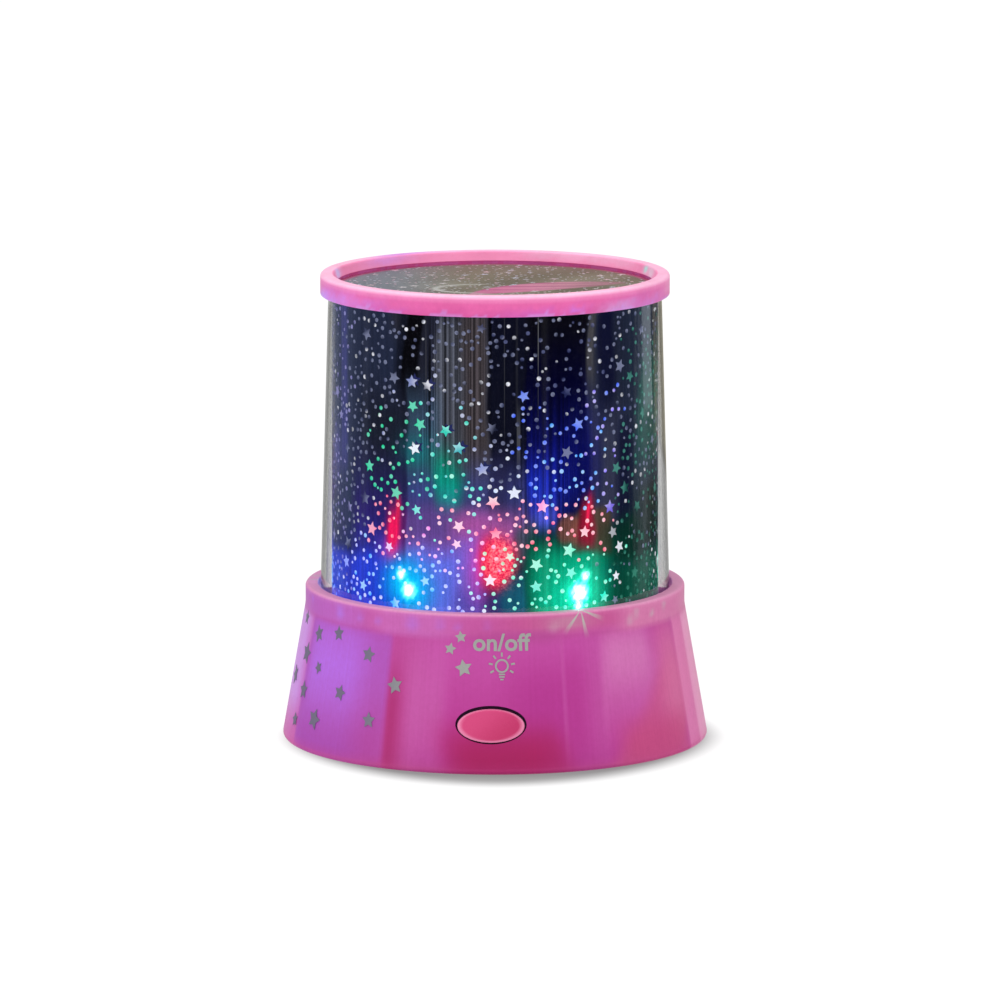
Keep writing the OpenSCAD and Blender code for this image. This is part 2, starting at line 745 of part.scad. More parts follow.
module switch_body() {
    color("dimgray") difference() {
        union() {
            translate([-switch_w / 2, switch_front, button_z - switch_w / 2])
                cube([switch_w, switch_l, switch_w]);
            at_switch_pins() translate([-pin_w / 2, switch_board_front - eps, -pin_w / 2])
                cube([pin_w, board_t + tail, pin_w]);
        }
        translate([0, switch_front - 1, button_z]) rotate([-90, 0, 0])
            cylinder(r = plunger_r + slip / 2, h = 1 + plunger_in + button_travel + switch_floor / 2);
    }
}

module switch_board() {
    color("darkgreen") difference() {
        translate([-switch_board_w / 2, switch_board_front, switch_board_z])
            cube([switch_board_w, board_t, switch_board_h]);
        at_switch_pins() translate([0, switch_board_front - 1, 0]) rotate([-90, 0, 0])
            cylinder(r = 0.8 * pin_w, h = board_t + 2);
    }
}

// ---------- leads ----------

module lead_red() {
    color("red") tube(curve(red_route, 6), wire_r, [0, 1, 0]);
}

module lead_black() {
    color("black") tube(curve(black_route, 6), wire_r, [0, 1, 0]);
}

module switch_leads() {
    color("gold") for (s = [-1, 1])
        tube(curve([for (q = switch_route) [s * q[0], q[1], q[2]]], 6), wire_r, [1, 0, 0]);
}

// ---------- shade ----------

module clear_cup() {
    color("white", 0.3) rotate_extrude() polygon(concat(
        [[cup_r, z_seat]],
        arc(cup_top_r - cup_edge_r, z_cup_top - cup_edge_r, cup_edge_r, 0, 90, 5),
        [[0, z_cup_top], [0, z_cup_top - cup_wall],
         [cup_top_r - cup_wall, z_cup_top - cup_wall], [cup_r - cup_wall, z_seat]]));
}

// A rolled sheet, twice as thick at the back where its ends lap
module star_film_wall() {
    color("midnightblue") translate([0, 0, z_film]) linear_extrude(z_disc - z_film) difference() {
        circle(film_r);
        circle(film_r - 2 * film_t);
        difference() {
            circle(film_r - film_t);
            translate([-film_lap / 2, 0]) square([film_lap, 2 * film_r]);
        }
    }
}

module star_film_disc() {
    color("gray") translate([0, 0, z_disc]) cylinder(r = film_r, h = film_t);
}

module top_ring() {
    ring_r = cup_top_r + fit + ring_wall;
    lip_r = cup_top_r - lip_in;
    foot_edge = 0.4;
    color("hotpink", 0.9) rotate_extrude() polygon(concat(
        [[cup_r_at(z_ring) + fit, z_ring]],
        arc(ring_r - foot_edge, z_ring + foot_edge, foot_edge, 270, 360, 3),
        arc(ring_r - soft_r, z_ring_top - soft_r, soft_r, 0, 90),
        arc(lip_r + soft_r / 2, z_ring_top - soft_r / 2, soft_r / 2, 90, 180, 4),
        [[lip_r - lip_slope, z_cup_top], [cup_top_r + fit, z_cup_top]]));
}

base_housing();
bottom_cover();
battery_door();
door_screw();
cover_screws();
foot_pads();
battery(0);  // battery_1
battery(1);  // battery_2
battery(2);  // battery_3
battery_springs();
contact_plates();
light_deck();
deck_screws();
led_board();
board_screws();
led(0, "blue");  // led_blue
led(1, "lime");  // led_green
led(2, "red");  // led_red
resistors();
controller_chip();
button_cap();
switch_plunger();
switch_body();
switch_board();
lead_red();
lead_black();
switch_leads();
clear_cup();
star_film_wall();
star_film_disc();
top_ring();
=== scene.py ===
"""Star night light: the modelled shells, the star film and every finish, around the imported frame.

Sizes in the panel are in metres. The tables below are in millimetres, degrees and 0-255 colours.
An angle is measured round the lamp from its button, positive towards +X.
"""

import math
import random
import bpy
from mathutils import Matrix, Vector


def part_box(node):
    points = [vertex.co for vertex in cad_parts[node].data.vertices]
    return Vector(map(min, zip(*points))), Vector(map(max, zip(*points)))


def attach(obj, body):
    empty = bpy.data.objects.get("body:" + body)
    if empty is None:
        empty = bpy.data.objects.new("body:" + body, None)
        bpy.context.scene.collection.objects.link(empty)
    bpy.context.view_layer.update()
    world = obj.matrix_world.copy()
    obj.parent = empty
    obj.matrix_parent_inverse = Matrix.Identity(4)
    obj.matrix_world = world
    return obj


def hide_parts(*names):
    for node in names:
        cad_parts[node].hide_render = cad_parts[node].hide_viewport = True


bl_info = {
    "name": "Star night light",
    "version": (1, 0, 0),
    "blender": (4, 5, 0),
    "location": "3D View > Sidebar > Night light",
    "description": "Models the shells, star film and prints of a night light and finishes all its pieces",
    "category": "Add Mesh",
}

from collections import namedtuple

import bmesh
import bpy
import numpy as np
from bpy.props import FloatProperty, FloatVectorProperty, IntProperty, PointerProperty
from mathutils import Matrix, Vector

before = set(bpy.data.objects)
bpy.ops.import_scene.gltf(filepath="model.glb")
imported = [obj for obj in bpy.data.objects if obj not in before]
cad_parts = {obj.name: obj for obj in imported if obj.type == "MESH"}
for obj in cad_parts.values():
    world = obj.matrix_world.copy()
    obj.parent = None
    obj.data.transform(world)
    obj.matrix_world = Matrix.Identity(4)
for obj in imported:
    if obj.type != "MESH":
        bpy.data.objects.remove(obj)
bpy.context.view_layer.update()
HOUSING_LOW, HOUSING_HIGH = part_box("base_housing")
CUP_LOW, CUP_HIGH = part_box("clear_cup")
FILM_LOW, FILM_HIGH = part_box("star_film_wall")
DISC_LOW, DISC_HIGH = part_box("star_film_disc")
RING_LOW, RING_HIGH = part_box("top_ring")

MM = 0.001
FULL_TURN = 360  # faces round the large shells
CREASE = 35  # degrees, past which an edge looks sharp
RIM_RADIUS = 53.3  # of the housing's upright rim, in mm
ALL_ROUND = (-400, 400)  # left and right of a patch without sides
WHITE = (255, 255, 255)
# Fine upright sheens of the film, as angle, half width, lowest and highest place in mm, and power
SHEENS = ((4.4, 0.12, 94, 135, 0.03), (8.7, 0.4, 96, 135, 0.01), (16.2, 0.12, 112, 130, 0.14),
          (16.2, 0.1, 98, 112, 0.04), (-23.4, 0.15, 104, 122, 0.04), (9.3, 0.6, 86, 98, 0.06),
          (124, 0.15, 90, 135, 0.03), (136, 0.2, 104, 130, 0.1), (-116, 0.15, 94, 135, 0.03),
          (-103, 0.3, 100, 128, 0.08), (178, 0.2, 96, 135, 0.05))
# The rays are painted light on the rim, below each right-hand LED.
RAYS = (27.4, 44.7)  # angle and height in mm of the place on the rim that short rays spread from
SEED = 7


# ---------- colours and places ----------

def linear(tint):
    """The scene-linear values of a 0-255 display colour, or of many."""
    share = np.asarray(tint) / 255
    return np.where(share <= 0.04045, share / 12.92, ((share + 0.055) / 1.055) ** 2.4)


def between(first, second, share):
    """A colour part of the way from the first to the second, or one for each of many shares."""
    return np.asarray(first) + (np.asarray(second) - np.asarray(first)) * np.asarray(share)[..., None]


def wrapped(angle, span=360):
    """The angle moved to within half a span of zero."""
    return (angle + span / 2) % span - span / 2


def ramp(distance, soft):
    """0 to 1 as a distance goes from minus to plus its softness."""
    share = np.clip((distance / soft + 1) / 2, 0, 1)
    return share * share * (3 - 2 * share)


def drift(first, second):
    """A smooth wander between -1 and 1."""
    return (np.sin(first + 1.7 * np.sin(second)) + np.sin(1.9 * first - 1.3 * second + 2)) / 2


class Patch(namedtuple("Patch", "tint left right low high soft lift strength lean", defaults=(4, 4, 1, 0))):
    """A tinted area between two angles and two heights, with its softness each way.

    The lean moves it sideways, in degrees for each mm of height above its middle.
    """

    def weight(self, angle, height):
        """How strongly it covers each place."""
        soft_left, soft_right = self.soft if isinstance(self.soft, tuple) else (self.soft, self.soft)
        half = (self.right - self.left) / 2
        across = wrapped(angle - self.left - half) - self.lean * (height - (self.low + self.high) / 2)
        sides = ramp(across + half, soft_left) * ramp(half - across, soft_right)
        ends = ramp(height - self.low, self.lift) * ramp(self.high - height, self.lift)
        return self.strength * sides * ends


class Spot(namedtuple("Spot", "tint angle height wide tall strength edge", defaults=(1, 1))):
    """A soft oval glow about one place. A greater edge makes it flatter with a crisper rim."""

    def weight(self, angle, height):
        """How strongly it covers each place."""
        across, up = wrapped(angle - self.angle) / self.wide, (height - self.height) / self.tall
        return self.strength * np.exp(-(across * across + up * up) ** self.edge)


def layered(ground, layers, angle, height):
    """The ground colour with each layer painted over it in turn."""
    tint = np.asarray(ground, float)
    for layer in layers:
        tint = between(tint, layer.tint, np.clip(layer.weight(angle, height), 0, 1))
    return tint


# ---------- sizes and colours that a user would change ----------

def length(name, about, metres):
    """A size in the panel."""
    return FloatProperty(name=name, description=about, default=metres, unit="LENGTH", precision=5)


def colour(name, about, tint):
    """A colour in the panel, from a 0-255 display colour."""
    return FloatVectorProperty(
        name=name, description=about, default=tuple(linear(tint)), size=3, min=0, max=1, subtype="COLOR")


class NightLightShell(bpy.types.PropertyGroup):
    """Sizes of the housing, the ring and the button"""

    foot_radius: length("Foot radius", "Radius of the housing at its foot", HOUSING_HIGH.x)
    foot_rounding: length("Foot rounding", "Rounding of the housing's lower edge", 1.5 * MM)
    rim_radius: length("Rim radius", "Outer radius of the upright rim", RIM_RADIUS * MM)
    flare_top: length("Flare top", "Height where the flare meets the rim", 38.6 * MM)
    seat_radius: length("Seat radius", "Radius of the seat that the shade stands in", 49.6 * MM)
    seat_height: length("Seat height", "Height of the seat", CUP_LOW.z)
    ledge_radius: length("Ledge radius", "Inner radius of the ledge", 44.5 * MM)
    ledge_height: length("Ledge underside", "Height of the ledge's underside", 40.2 * MM)
    wall: length("Wall", "Wall of the housing", 2.2 * MM)
    rim_rounding: length("Rim rounding", "Rounding of the rim and the ring", 0.9 * MM)
    button_width: length("Button width", "Width of the oval button", 18.5 * MM)
    button_height: length("Button height", "Height of the oval button", 9.3 * MM)
    button_gap: length("Button gap", "Gap round the button", 0.55 * MM)
    button_level: length("Button level", "Height of the button's centre", 14.3 * MM)
    button_proud: length("Button proud", "How far the button stands out", 0.3 * MM)

    def lean(self):
        """How far the flare moves inwards for each unit of height."""
        return (self.foot_radius - self.rim_radius) / (self.flare_top - HOUSING_LOW.z - self.foot_rounding)

    def flare_radius(self, height):
        """Outer radius of the flare at a height."""
        return self.foot_radius - self.lean() * (height - HOUSING_LOW.z - self.foot_rounding)


class NightLightShade(bpy.types.PropertyGroup):
    """Sizes of the clear cup and its star film"""

    cup_top_radius: length("Cup top radius", "Outer radius of the cup at its top", 46.55 * MM)
    cup_wall: length("Cup wall", "Wall of the clear cup", 1.2 * MM)
    cup_rounding: length("Cup rounding", "Rounding of the cup's top edge", 0.8 * MM)
    film_thickness: length("Film thickness", "Thickness of the star film", 0.25 * MM)
    window_proud: length("Window relief", "How far the windows stand proud of the film", 0.04 * MM)
    dots: IntProperty(name="Dots", description="Loose dots round the shade", default=2100, min=0, max=4000)
    stars: IntProperty(name="Stars", description="Stars round the shade", default=150, min=0, max=400)
    garlands: IntProperty(name="Garlands", description="Curved rows of dots", default=48, min=0, max=90)


class NightLightColours(bpy.types.PropertyGroup):
    """Main colours of the finishes"""

    cover: colour("Cover", "Bottom cover and battery door", (226, 120, 172))
    button: colour("Button", "Middle of the push button", (192, 38, 98))
    print_grey: colour("Print", "Stars and lettering on the housing", (168, 170, 164))
    rubber: colour("Rubber", "Foot pads", (52, 52, 55))
    board: colour("Board", "Circuit boards", (12, 88, 52))


# ---------- shader expressions ----------

class Value:
    """A socket in a shader expression. Arithmetic on it adds Math nodes to its finish."""

    def __init__(self, finish, socket):
        self.finish = finish
        self.socket = socket

    def __add__(self, other):
        return self.finish.math("ADD", self, other)

    def __sub__(self, other):
        return self.finish.math("SUBTRACT", self, other)

    def __rsub__(self, other):
        return self.finish.math("SUBTRACT", other, self)

    def __mul__(self, other):
        return self.finish.math("MULTIPLY", self, other)

    def __truediv__(self, other):
        return self.finish.math("DIVIDE", self, other)

    def __rtruediv__(self, other):
        return self.finish.math("DIVIDE", other, self)

    def __pow__(self, other):
        return self.finish.math("POWER", self, other)

    __radd__ = __add__
    __rmul__ = __mul__

    def band(self, low, high, soft):
        """1 between two values and 0 outside them, with soft edges."""
        rise = self.finish.map_range(self, low - soft, low + soft)
        return rise * (1 - self.finish.map_range(self, high - soft, high + soft))


class Finish:
    """A material, or the world, as a tree of nodes."""

    def __init__(self, name, owner=None):
        self.owner = owner or bpy.data.materials.new(name)
        self.owner.use_nodes = True
        self.tree = self.owner.node_tree
        self.tree.nodes.clear()

    def put(self, socket, value):
        """Links an expression to a socket, or gives it a plain value."""
        if isinstance(value, Value):
            self.tree.links.new(value.socket, socket)
        elif socket.type == "RGBA" and len(value) == 3:
            socket.default_value = (*value, 1)
        else:
            socket.default_value = value

    def node(self, kind, settings=None, sockets=None, out=0):
        """Adds a node with its settings and sockets, and gives one of its outputs if it has any."""
        node = self.tree.nodes.new(kind)
        for key, value in (settings or {}).items():
            setattr(node, key, value)
        for key, value in (sockets or {}).items():
            self.put(node.inputs[key], value)
        return Value(self, node.outputs[out]) if node.outputs else None

    def math(self, operation, *values):
        """A Math node."""
        return self.node("ShaderNodeMath", {"operation": operation}, dict(enumerate(values)))

    def map_range(self, value, low, high):
        """0 to 1 as a value goes from low to high."""
        return self.node("ShaderNodeMapRange", {"interpolation_type": "SMOOTHSTEP"},
                         {"Value": value, "From Min": low, "From Max": high})

    def mix(self, share, first, second, blend="MIX"):
        """Two colours mixed."""
        return self.node("ShaderNodeMix", {"data_type": "RGBA", "blend_type": blend, "clamp_factor": True},
                         {0: share, 6: first, 7: second}, out=2)

    def scaled(self, vector, factor):
        """A colour or vector times a number."""
        return self.node("ShaderNodeVectorMath", {"operation": "SCALE"}, {0: vector, "Scale": factor})

    def place(self):
        """Where a point is in the piece's own space."""
        return self.node("ShaderNodeTexCoord", out="Object")

    def split(self, vector):
        """X, Y and Z of a vector."""
        x = self.node("ShaderNodeSeparateXYZ", sockets={0: vector})
        return x, *(Value(self, x.socket.node.outputs[i]) for i in (1, 2))

    def axes(self):
        """X, Y and Z of the place, in metres."""
        return self.split(self.place())

    def angle(self):
        """The angle round the lamp, in radians from the button."""
        x, y, _ = self.axes()
        return self.math("ARCTAN2", x, y * -1)

    def painted(self, name):
        """A colour painted on the piece's mesh."""
        return self.node("ShaderNodeAttribute", {"attribute_name": name}, out="Color")

    def noise(self, scale, detail=2, rough=0.5, stretch=(1, 1, 1)):
        """Noise in the piece's own space; scale is in cells for each metre."""
        vector = self.node("ShaderNodeMapping", sockets={"Vector": self.place(), "Scale": stretch})
        return self.node("ShaderNodeTexNoise", sockets={
            "Vector": vector, "Scale": scale, "Detail": detail, "Roughness": rough}, out="Fac")

    def streaks(self, lines, detail=3):
        """Noise that varies only round the lamp, as upright streaks."""
        return self.node("ShaderNodeTexNoise", {"noise_dimensions": "1D"},
                         {"W": self.angle(), "Scale": lines, "Detail": detail, "Roughness": 0.6}, out="Fac")

    def bump(self, height, depth, strength):
        """A normal that follows a height, with its full depth in metres."""
        sockets = {"Height": height, "Distance": depth, "Strength": strength}
        return self.node("ShaderNodeBump", sockets=sockets)

    def grain(self, scale, depth, strength, detail=2, rough=0.5):
        """A finely uneven surface, with its depth in metres."""
        return self.bump(self.noise(scale, detail, rough), depth, strength)

    def surface(self, **sockets):
        """Ends the material with a Principled surface. Underscores stand for the spaces in socket names."""
        names = {key.replace("_", " "): value for key, value in sockets.items()}
        shader = self.node("ShaderNodeBsdfPrincipled", sockets=names)
        self.node("ShaderNodeOutputMaterial", sockets={"Surface": shader})
        return self.owner


# ---------- finishes ----------

def pink_shell_finish(name, glow, streaky, cloudy):
    """Moulded translucent pink plastic that glows with the painted light and shade of its LEDs."""
    f = Finish(name)
    cloud, speckle = f.noise(60, 3), f.noise(700, 3, 0.7)
    dark = streaky * (f.streaks(70) - 0.5) + cloudy * (cloud - 0.5) + 0.24 * (speckle - 0.5) + 0.1
    tint = f.mix(caustic_rays(f), f.painted("tint"), linear((176, 214, 190)))
    shaded = f.mix(dark, tint, linear((150, 20, 90)))
    return f.surface(
        Base_Color=shaded, Roughness=0.4 + 0.12 * f.noise(900, 2), Coat_Weight=0.15, Coat_Roughness=0.15,
        Specular_IOR_Level=0.35, Emission_Color=shaded, Emission_Strength=glow,
        Normal=f.grain(2600, 0.00004, 0.35))


def caustic_rays(f):
    """Painted light: short rays that the cup's foot throws down the rim, below each right-hand LED."""
    half_third = math.pi / 3
    bright_to, gone_at = 1.2 * MM, 8.8 * MM
    across = (f.math("WRAP", f.angle(), half_third, -half_third) - math.radians(RAYS[0])) * (RIM_RADIUS * MM)
    down = RAYS[1] * MM - f.axes()[2]
    reach = f.math("SQRT", across * across + down * down)
    turn = f.math("ARCTAN2", across, down)
    spikes = f.math("COSINE", (turn - 0.25) * 6.9).band(0.8, 2, 0.14)
    below = f.map_range(down, -0.4 * MM, 0.2 * MM)
    return spikes * (1 - f.map_range(reach, bright_to, gone_at)) * 0.75 * below


def film_finish():
    """Dark star film with upright creases, glowing with painted light from inside and painted sheens."""
    f = Finish("star film")
    lines = f.streaks(34, 5)
    crisp = f.map_range(f.streaks(40, 3), 0.34, 0.68)
    specks = f.map_range(f.noise(1500, 4, 0.8), 0.42, 0.66)
    grain = f.noise(2600, 2, 0.7)
    # painted sheen: the glow is brighter and darker in streaks along the creases
    level = (1 + f.painted("creases") * (1.9 * crisp - 0.8)) * (0.6 + 0.8 * grain)
    angle, height = f.angle(), f.axes()[2]
    sheen = 0
    for middle, half, low, high, power in SHEENS:
        stripe = angle.band(math.radians(middle - half), math.radians(middle + half), 0.002)
        sheen = sheen + power * stripe * height.band(low * MM, high * MM, 6 * MM)
    lit = f.mix(1, f.scaled(f.painted("glow"), level), f.scaled(f.painted("sparkle"), specks), "ADD")
    lit = f.mix(1, lit, f.scaled((0.9, 0.93, 1.0), sheen), "ADD")
    return f.surface(
        Base_Color=linear((8, 8, 12)), Roughness=0.035 + 0.06 * lines, Emission_Color=lit,
        Emission_Strength=1.0, Normal=f.bump(lines, 0.0004, 0.25))


def window_finish():
    """Clear window in the film, coloured by the light behind it."""
    f = Finish("film window")
    return f.surface(Base_Color=linear((20, 20, 30)), Roughness=0.25, Emission_Color=f.painted("light"),
                     Emission_Strength=1.0)


def mirror_film_finish():
    """Silvered inner side of the film."""
    f = Finish("film back")
    lines = f.streaks(60, 4)
    tint = f.mix(lines, linear((70, 72, 80)), linear((175, 178, 188)))
    return f.surface(
        Base_Color=tint, Metallic=0.9, Roughness=0.22 + 0.1 * lines, Normal=f.bump(lines, 0.0004, 0.3))


def disc_finish():
    """Metallised film under the top, brushed by fine creases."""
    f = Finish("silver film")
    cloud = f.noise(45, 3)
    fine = f.noise(1500, 3, stretch=(0.35, 1, 1))
    return f.surface(
        Base_Color=f.mix(0.45 * fine, f.painted("tint"), linear((66, 58, 50))), Metallic=0.1,
        Roughness=0.7 + 0.2 * cloud, Specular_IOR_Level=0.15, Normal=f.bump(fine + cloud * 0.6, 0.0002, 0.35))


def relief_finish():
    """Thin pale windows of the top film, with a faint painted glow."""
    f = Finish("silver window")
    light = f.painted("light")
    return f.surface(
        Base_Color=light, Metallic=0.3, Roughness=0.3, Emission_Color=light, Emission_Strength=0.25)


def clear_finish(name, ior):
    """Clear styrene, a little wavy round the cup."""
    f = Finish(name)
    return f.surface(Base_Color=(1, 1, 1), Roughness=0.0, IOR=ior, Transmission_Weight=1.0,
                     Normal=f.grain(30, 0.0004, 0.08))


def button_finish():
    """Pink button with a faint painted glow; its tint holds painted highlights and painted shade at its
    sides.
    """
    f = Finish("pink button")
    tint = f.painted("tint")
    return f.surface(
        Base_Color=f.mix(0.2 * f.noise(1800, 2), tint, linear((225, 90, 140))), Roughness=0.36,
        Coat_Weight=0.2, Coat_Roughness=0.2, Emission_Color=tint, Emission_Strength=0.2,
        Normal=f.grain(2600, 0.00004, 0.35))


def gap_shade_finish():
    """Painted shade on the walls of the hole round the button, dark as the gap looks."""
    f = Finish("button gap")
    return f.surface(Base_Color=f.mix(f.noise(500), linear((66, 10, 80)), linear((24, 4, 32))), Roughness=0.6)


def print_finish(tint):
    """Matt grey ink, a little uneven, with painted violet shade to the left and a faint painted glow."""
    f = Finish("grey print")
    shade = 1 - f.map_range(f.angle(), math.radians(-44), math.radians(-12))
    ink = f.mix(shade, f.mix(0.5 * f.noise(1400, 3), tint, linear((140, 142, 142))), linear((116, 108, 132)))
    return f.surface(Base_Color=ink, Roughness=0.42, Emission_Color=ink, Emission_Strength=0.1)


def moulded(name, tint, rough, depth=0.00006, shade=0.8):
    """Plain moulded plastic: cloudy colour and a fine eroded grain."""
    f = Finish(name)
    dark = tuple(channel * shade for channel in tint)
    cloud = f.noise(90, 3)
    body = f.mix(cloud, dark, tint)
    return f.surface(Base_Color=body, Roughness=rough + 0.15 * (cloud - 0.5),
                     Normal=f.grain(1500, depth, 0.5, 3, 0.6))


def metal(name, tint, rough=0.3, stretch=(1, 1, 1)):
    """Drawn or turned metal with fine tool marks."""
    f = Finish(name)
    marks = f.noise(1600, 4, 0.6, stretch)
    body = f.mix(marks, tuple(channel * 0.65 for channel in tint), tint)
    return f.surface(Base_Color=body, Metallic=1.0, Roughness=rough + 0.2 * (marks - 0.5),
                     Normal=f.bump(marks, 0.00005, 0.5))


def cell_finish():
    """Printed sleeve of an AA cell: bright ends, a dark body, a coppery band and a pale line near the nub."""
    f = Finish("cell sleeve")
    row_middle, row_reach, sleeve_end, band_end = 2 * MM, 7.6 * MM, 26.2 * MM, 12.5 * MM
    x, y, _ = f.axes()
    middle_cell = f.map_range(f.math("ABSOLUTE", y - row_middle), row_reach + 0.2 * MM, row_reach - 0.2 * MM)
    along = x * (middle_cell * 2 - 1)  # the middle cell lies the other way round
    ends = f.map_range(f.math("ABSOLUTE", x), sleeve_end, sleeve_end + 0.2 * MM)
    band = along.band(-sleeve_end, -band_end, 0.2 * MM)
    line = along.band(0.3 * MM - band_end, 1.1 * MM - band_end, 0.1 * MM)
    sleeve = f.mix(band, linear((28, 74, 62)), linear((186, 118, 52)))
    sleeve = f.mix(line, sleeve, linear((225, 225, 222)))
    return f.surface(
        Base_Color=f.mix(ends, sleeve, linear((190, 190, 192))), Metallic=0.25 + 0.7 * ends, Roughness=0.28,
        Coat_Weight=0.3, Normal=f.grain(900, 0.00004, 0.4, 3))


def board_finish(tint):
    """Green solder mask over copper tracks, with a fine glass weave."""
    f = Finish("solder mask")
    place = f.scaled(f.place(), 260)
    tracks = f.node("ShaderNodeTexBrick", {"offset": 0.37, "squash": 0.6}, {
        "Vector": place, "Color1": (0, 0, 0), "Color2": (0, 0, 0), "Mortar": (1, 1, 1),
        "Scale": 1.0, "Mortar Size": 0.035, "Brick Width": 1.3, "Row Height": 0.55}, out="Fac")
    weave = f.node("ShaderNodeTexWave", {"bands_direction": "DIAGONAL"}, {
        "Vector": f.place(), "Scale": 900.0, "Distortion": 1.5}, out="Fac")
    mask = f.mix(tracks, tint, tuple(min(channel * 2.1, 1) for channel in tint))
    return f.surface(
        Base_Color=f.mix(0.12 * weave, mask, linear((120, 160, 90))), Roughness=0.3 + 0.15 * weave,
        Coat_Weight=0.3, Normal=f.bump(tracks + 0.2 * weave, 0.00006, 0.5))


def led_finish(name, tint):
    """Tinted LED: a lit dome above its flange and tinned leads below it."""
    f = Finish(name)
    height = f.axes()[2]
    flange_foot, dome_low, dome_high = 37.05 * MM, 40 * MM, 45.8 * MM
    lead = 1 - f.map_range(height, flange_foot, flange_foot + 0.07 * MM)
    tip = f.map_range(height, dome_low, dome_high)
    lens = f.mix(tip, linear(tint), tuple(0.35 + 0.65 * channel for channel in linear(tint)))
    return f.surface(
        Base_Color=f.mix(lead, lens, linear((190, 190, 190))), Metallic=lead * 0.95,
        Roughness=0.15 + 0.2 * lead, Emission_Color=f.mix(lead, lens, (0, 0, 0)), Emission_Strength=3.0)


def deck_finish():
    """White deck, with the light of each LED on it."""
    f = Finish("white deck")
    x, y, _ = f.axes()
    lit = (0, 0, 0)
    for angle, led in LEDS:
        away_x = x - LED_OUT * math.sin(math.radians(angle))
        away_y = y + LED_OUT * math.cos(math.radians(angle))
        reach = f.math("SQRT", away_x * away_x + away_y * away_y)
        lit = f.mix(1 - f.map_range(reach, 3 * MM, 30 * MM), lit, linear(TONES[led]["bright"]), "ADD")
    return f.surface(
        Base_Color=linear((228, 228, 230)), Roughness=0.4 + 0.1 * f.noise(400), Emission_Color=lit,
        Emission_Strength=0.35, Normal=f.grain(1500, 0.00005, 0.4, 3))


def resistor_finish():
    """Tan body with brown, black and red rings and tinned wires."""
    f = Finish("resistor")
    body_end, ring_half = 3.1 * MM, 0.28 * MM
    x = f.axes()[0]
    wire = f.map_range(f.math("ABSOLUTE", x), body_end, body_end + 0.1 * MM)
    tint = linear((206, 170, 120))
    rings = ((-2.2, (92, 48, 22)), (-1.2, (20, 18, 18)), (-0.2, (170, 30, 28)), (1.6, (176, 140, 50)))
    for middle, ring in rings:
        on_ring = x.band(middle * MM - ring_half, middle * MM + ring_half, 0.05 * MM)
        tint = f.mix(on_ring, tint, linear(ring))
    return f.surface(
        Base_Color=f.mix(wire, tint, linear((185, 185, 188))), Metallic=wire * 0.9, Roughness=0.35,
        Normal=f.grain(1500, 0.00004, 0.4))


def chip_finish():
    """Black moulded chip with tinned legs."""
    f = Finish("chip")
    middle, body_half = 16 * MM, 2.01 * MM
    leg = f.map_range(f.math("ABSOLUTE", f.axes()[0] - middle), body_half, body_half + 0.05 * MM)
    return f.surface(
        Base_Color=f.mix(leg, linear((26, 26, 28)), linear((190, 190, 192))), Metallic=leg * 0.95,
        Roughness=0.55 - 0.25 * leg, Normal=f.grain(3000, 0.00004, 0.5))


def switch_finish():
    """Dark switch body with tinned pins."""
    f = Finish("switch body")
    body_back = -36.62 * MM
    pin = f.map_range(f.axes()[1], body_back, body_back + 0.06 * MM)
    return f.surface(
        Base_Color=f.mix(pin, linear((58, 60, 64)), linear((190, 188, 180))), Metallic=pin * 0.95,
        Roughness=0.5 - 0.2 * pin, Normal=f.grain(1800, 0.00005, 0.5, 3))


# ---------- the light from the three LEDs ----------

LEDS = ((-60, "blue"), (60, "green"), (180, "red"))
LED_OUT = 28 * MM  # from the lamp's middle
SECTOR = 360 / len(LEDS)
TONES = {
    "blue": {"deep": (8, 14, 112), "mid": (36, 62, 218), "bright": (0, 186, 255), "pale": (146, 156, 255),
             "dot": (50, 88, 236), "clear": (70, 160, 255), "violet": (120, 104, 232)},
    "green": {"deep": (2, 66, 52), "mid": (0, 154, 114), "bright": (8, 238, 188), "pale": (84, 236, 196),
              "dot": (12, 196, 138), "clear": (36, 216, 190), "violet": (70, 190, 200)},
    "red": {"deep": (120, 20, 40), "mid": (246, 34, 84), "bright": (255, 96, 120), "pale": (255, 150, 176),
            "dot": (250, 92, 122), "clear": (252, 124, 154), "violet": (226, 124, 206)},
}


def leds_seen(sector):
    """The LEDs that stand left, right and far, looking at a sector from outside."""
    names = [name for _, name in LEDS]
    return names[sector % 3], names[(sector + 1) % 3], names[(sector + 2) % 3]


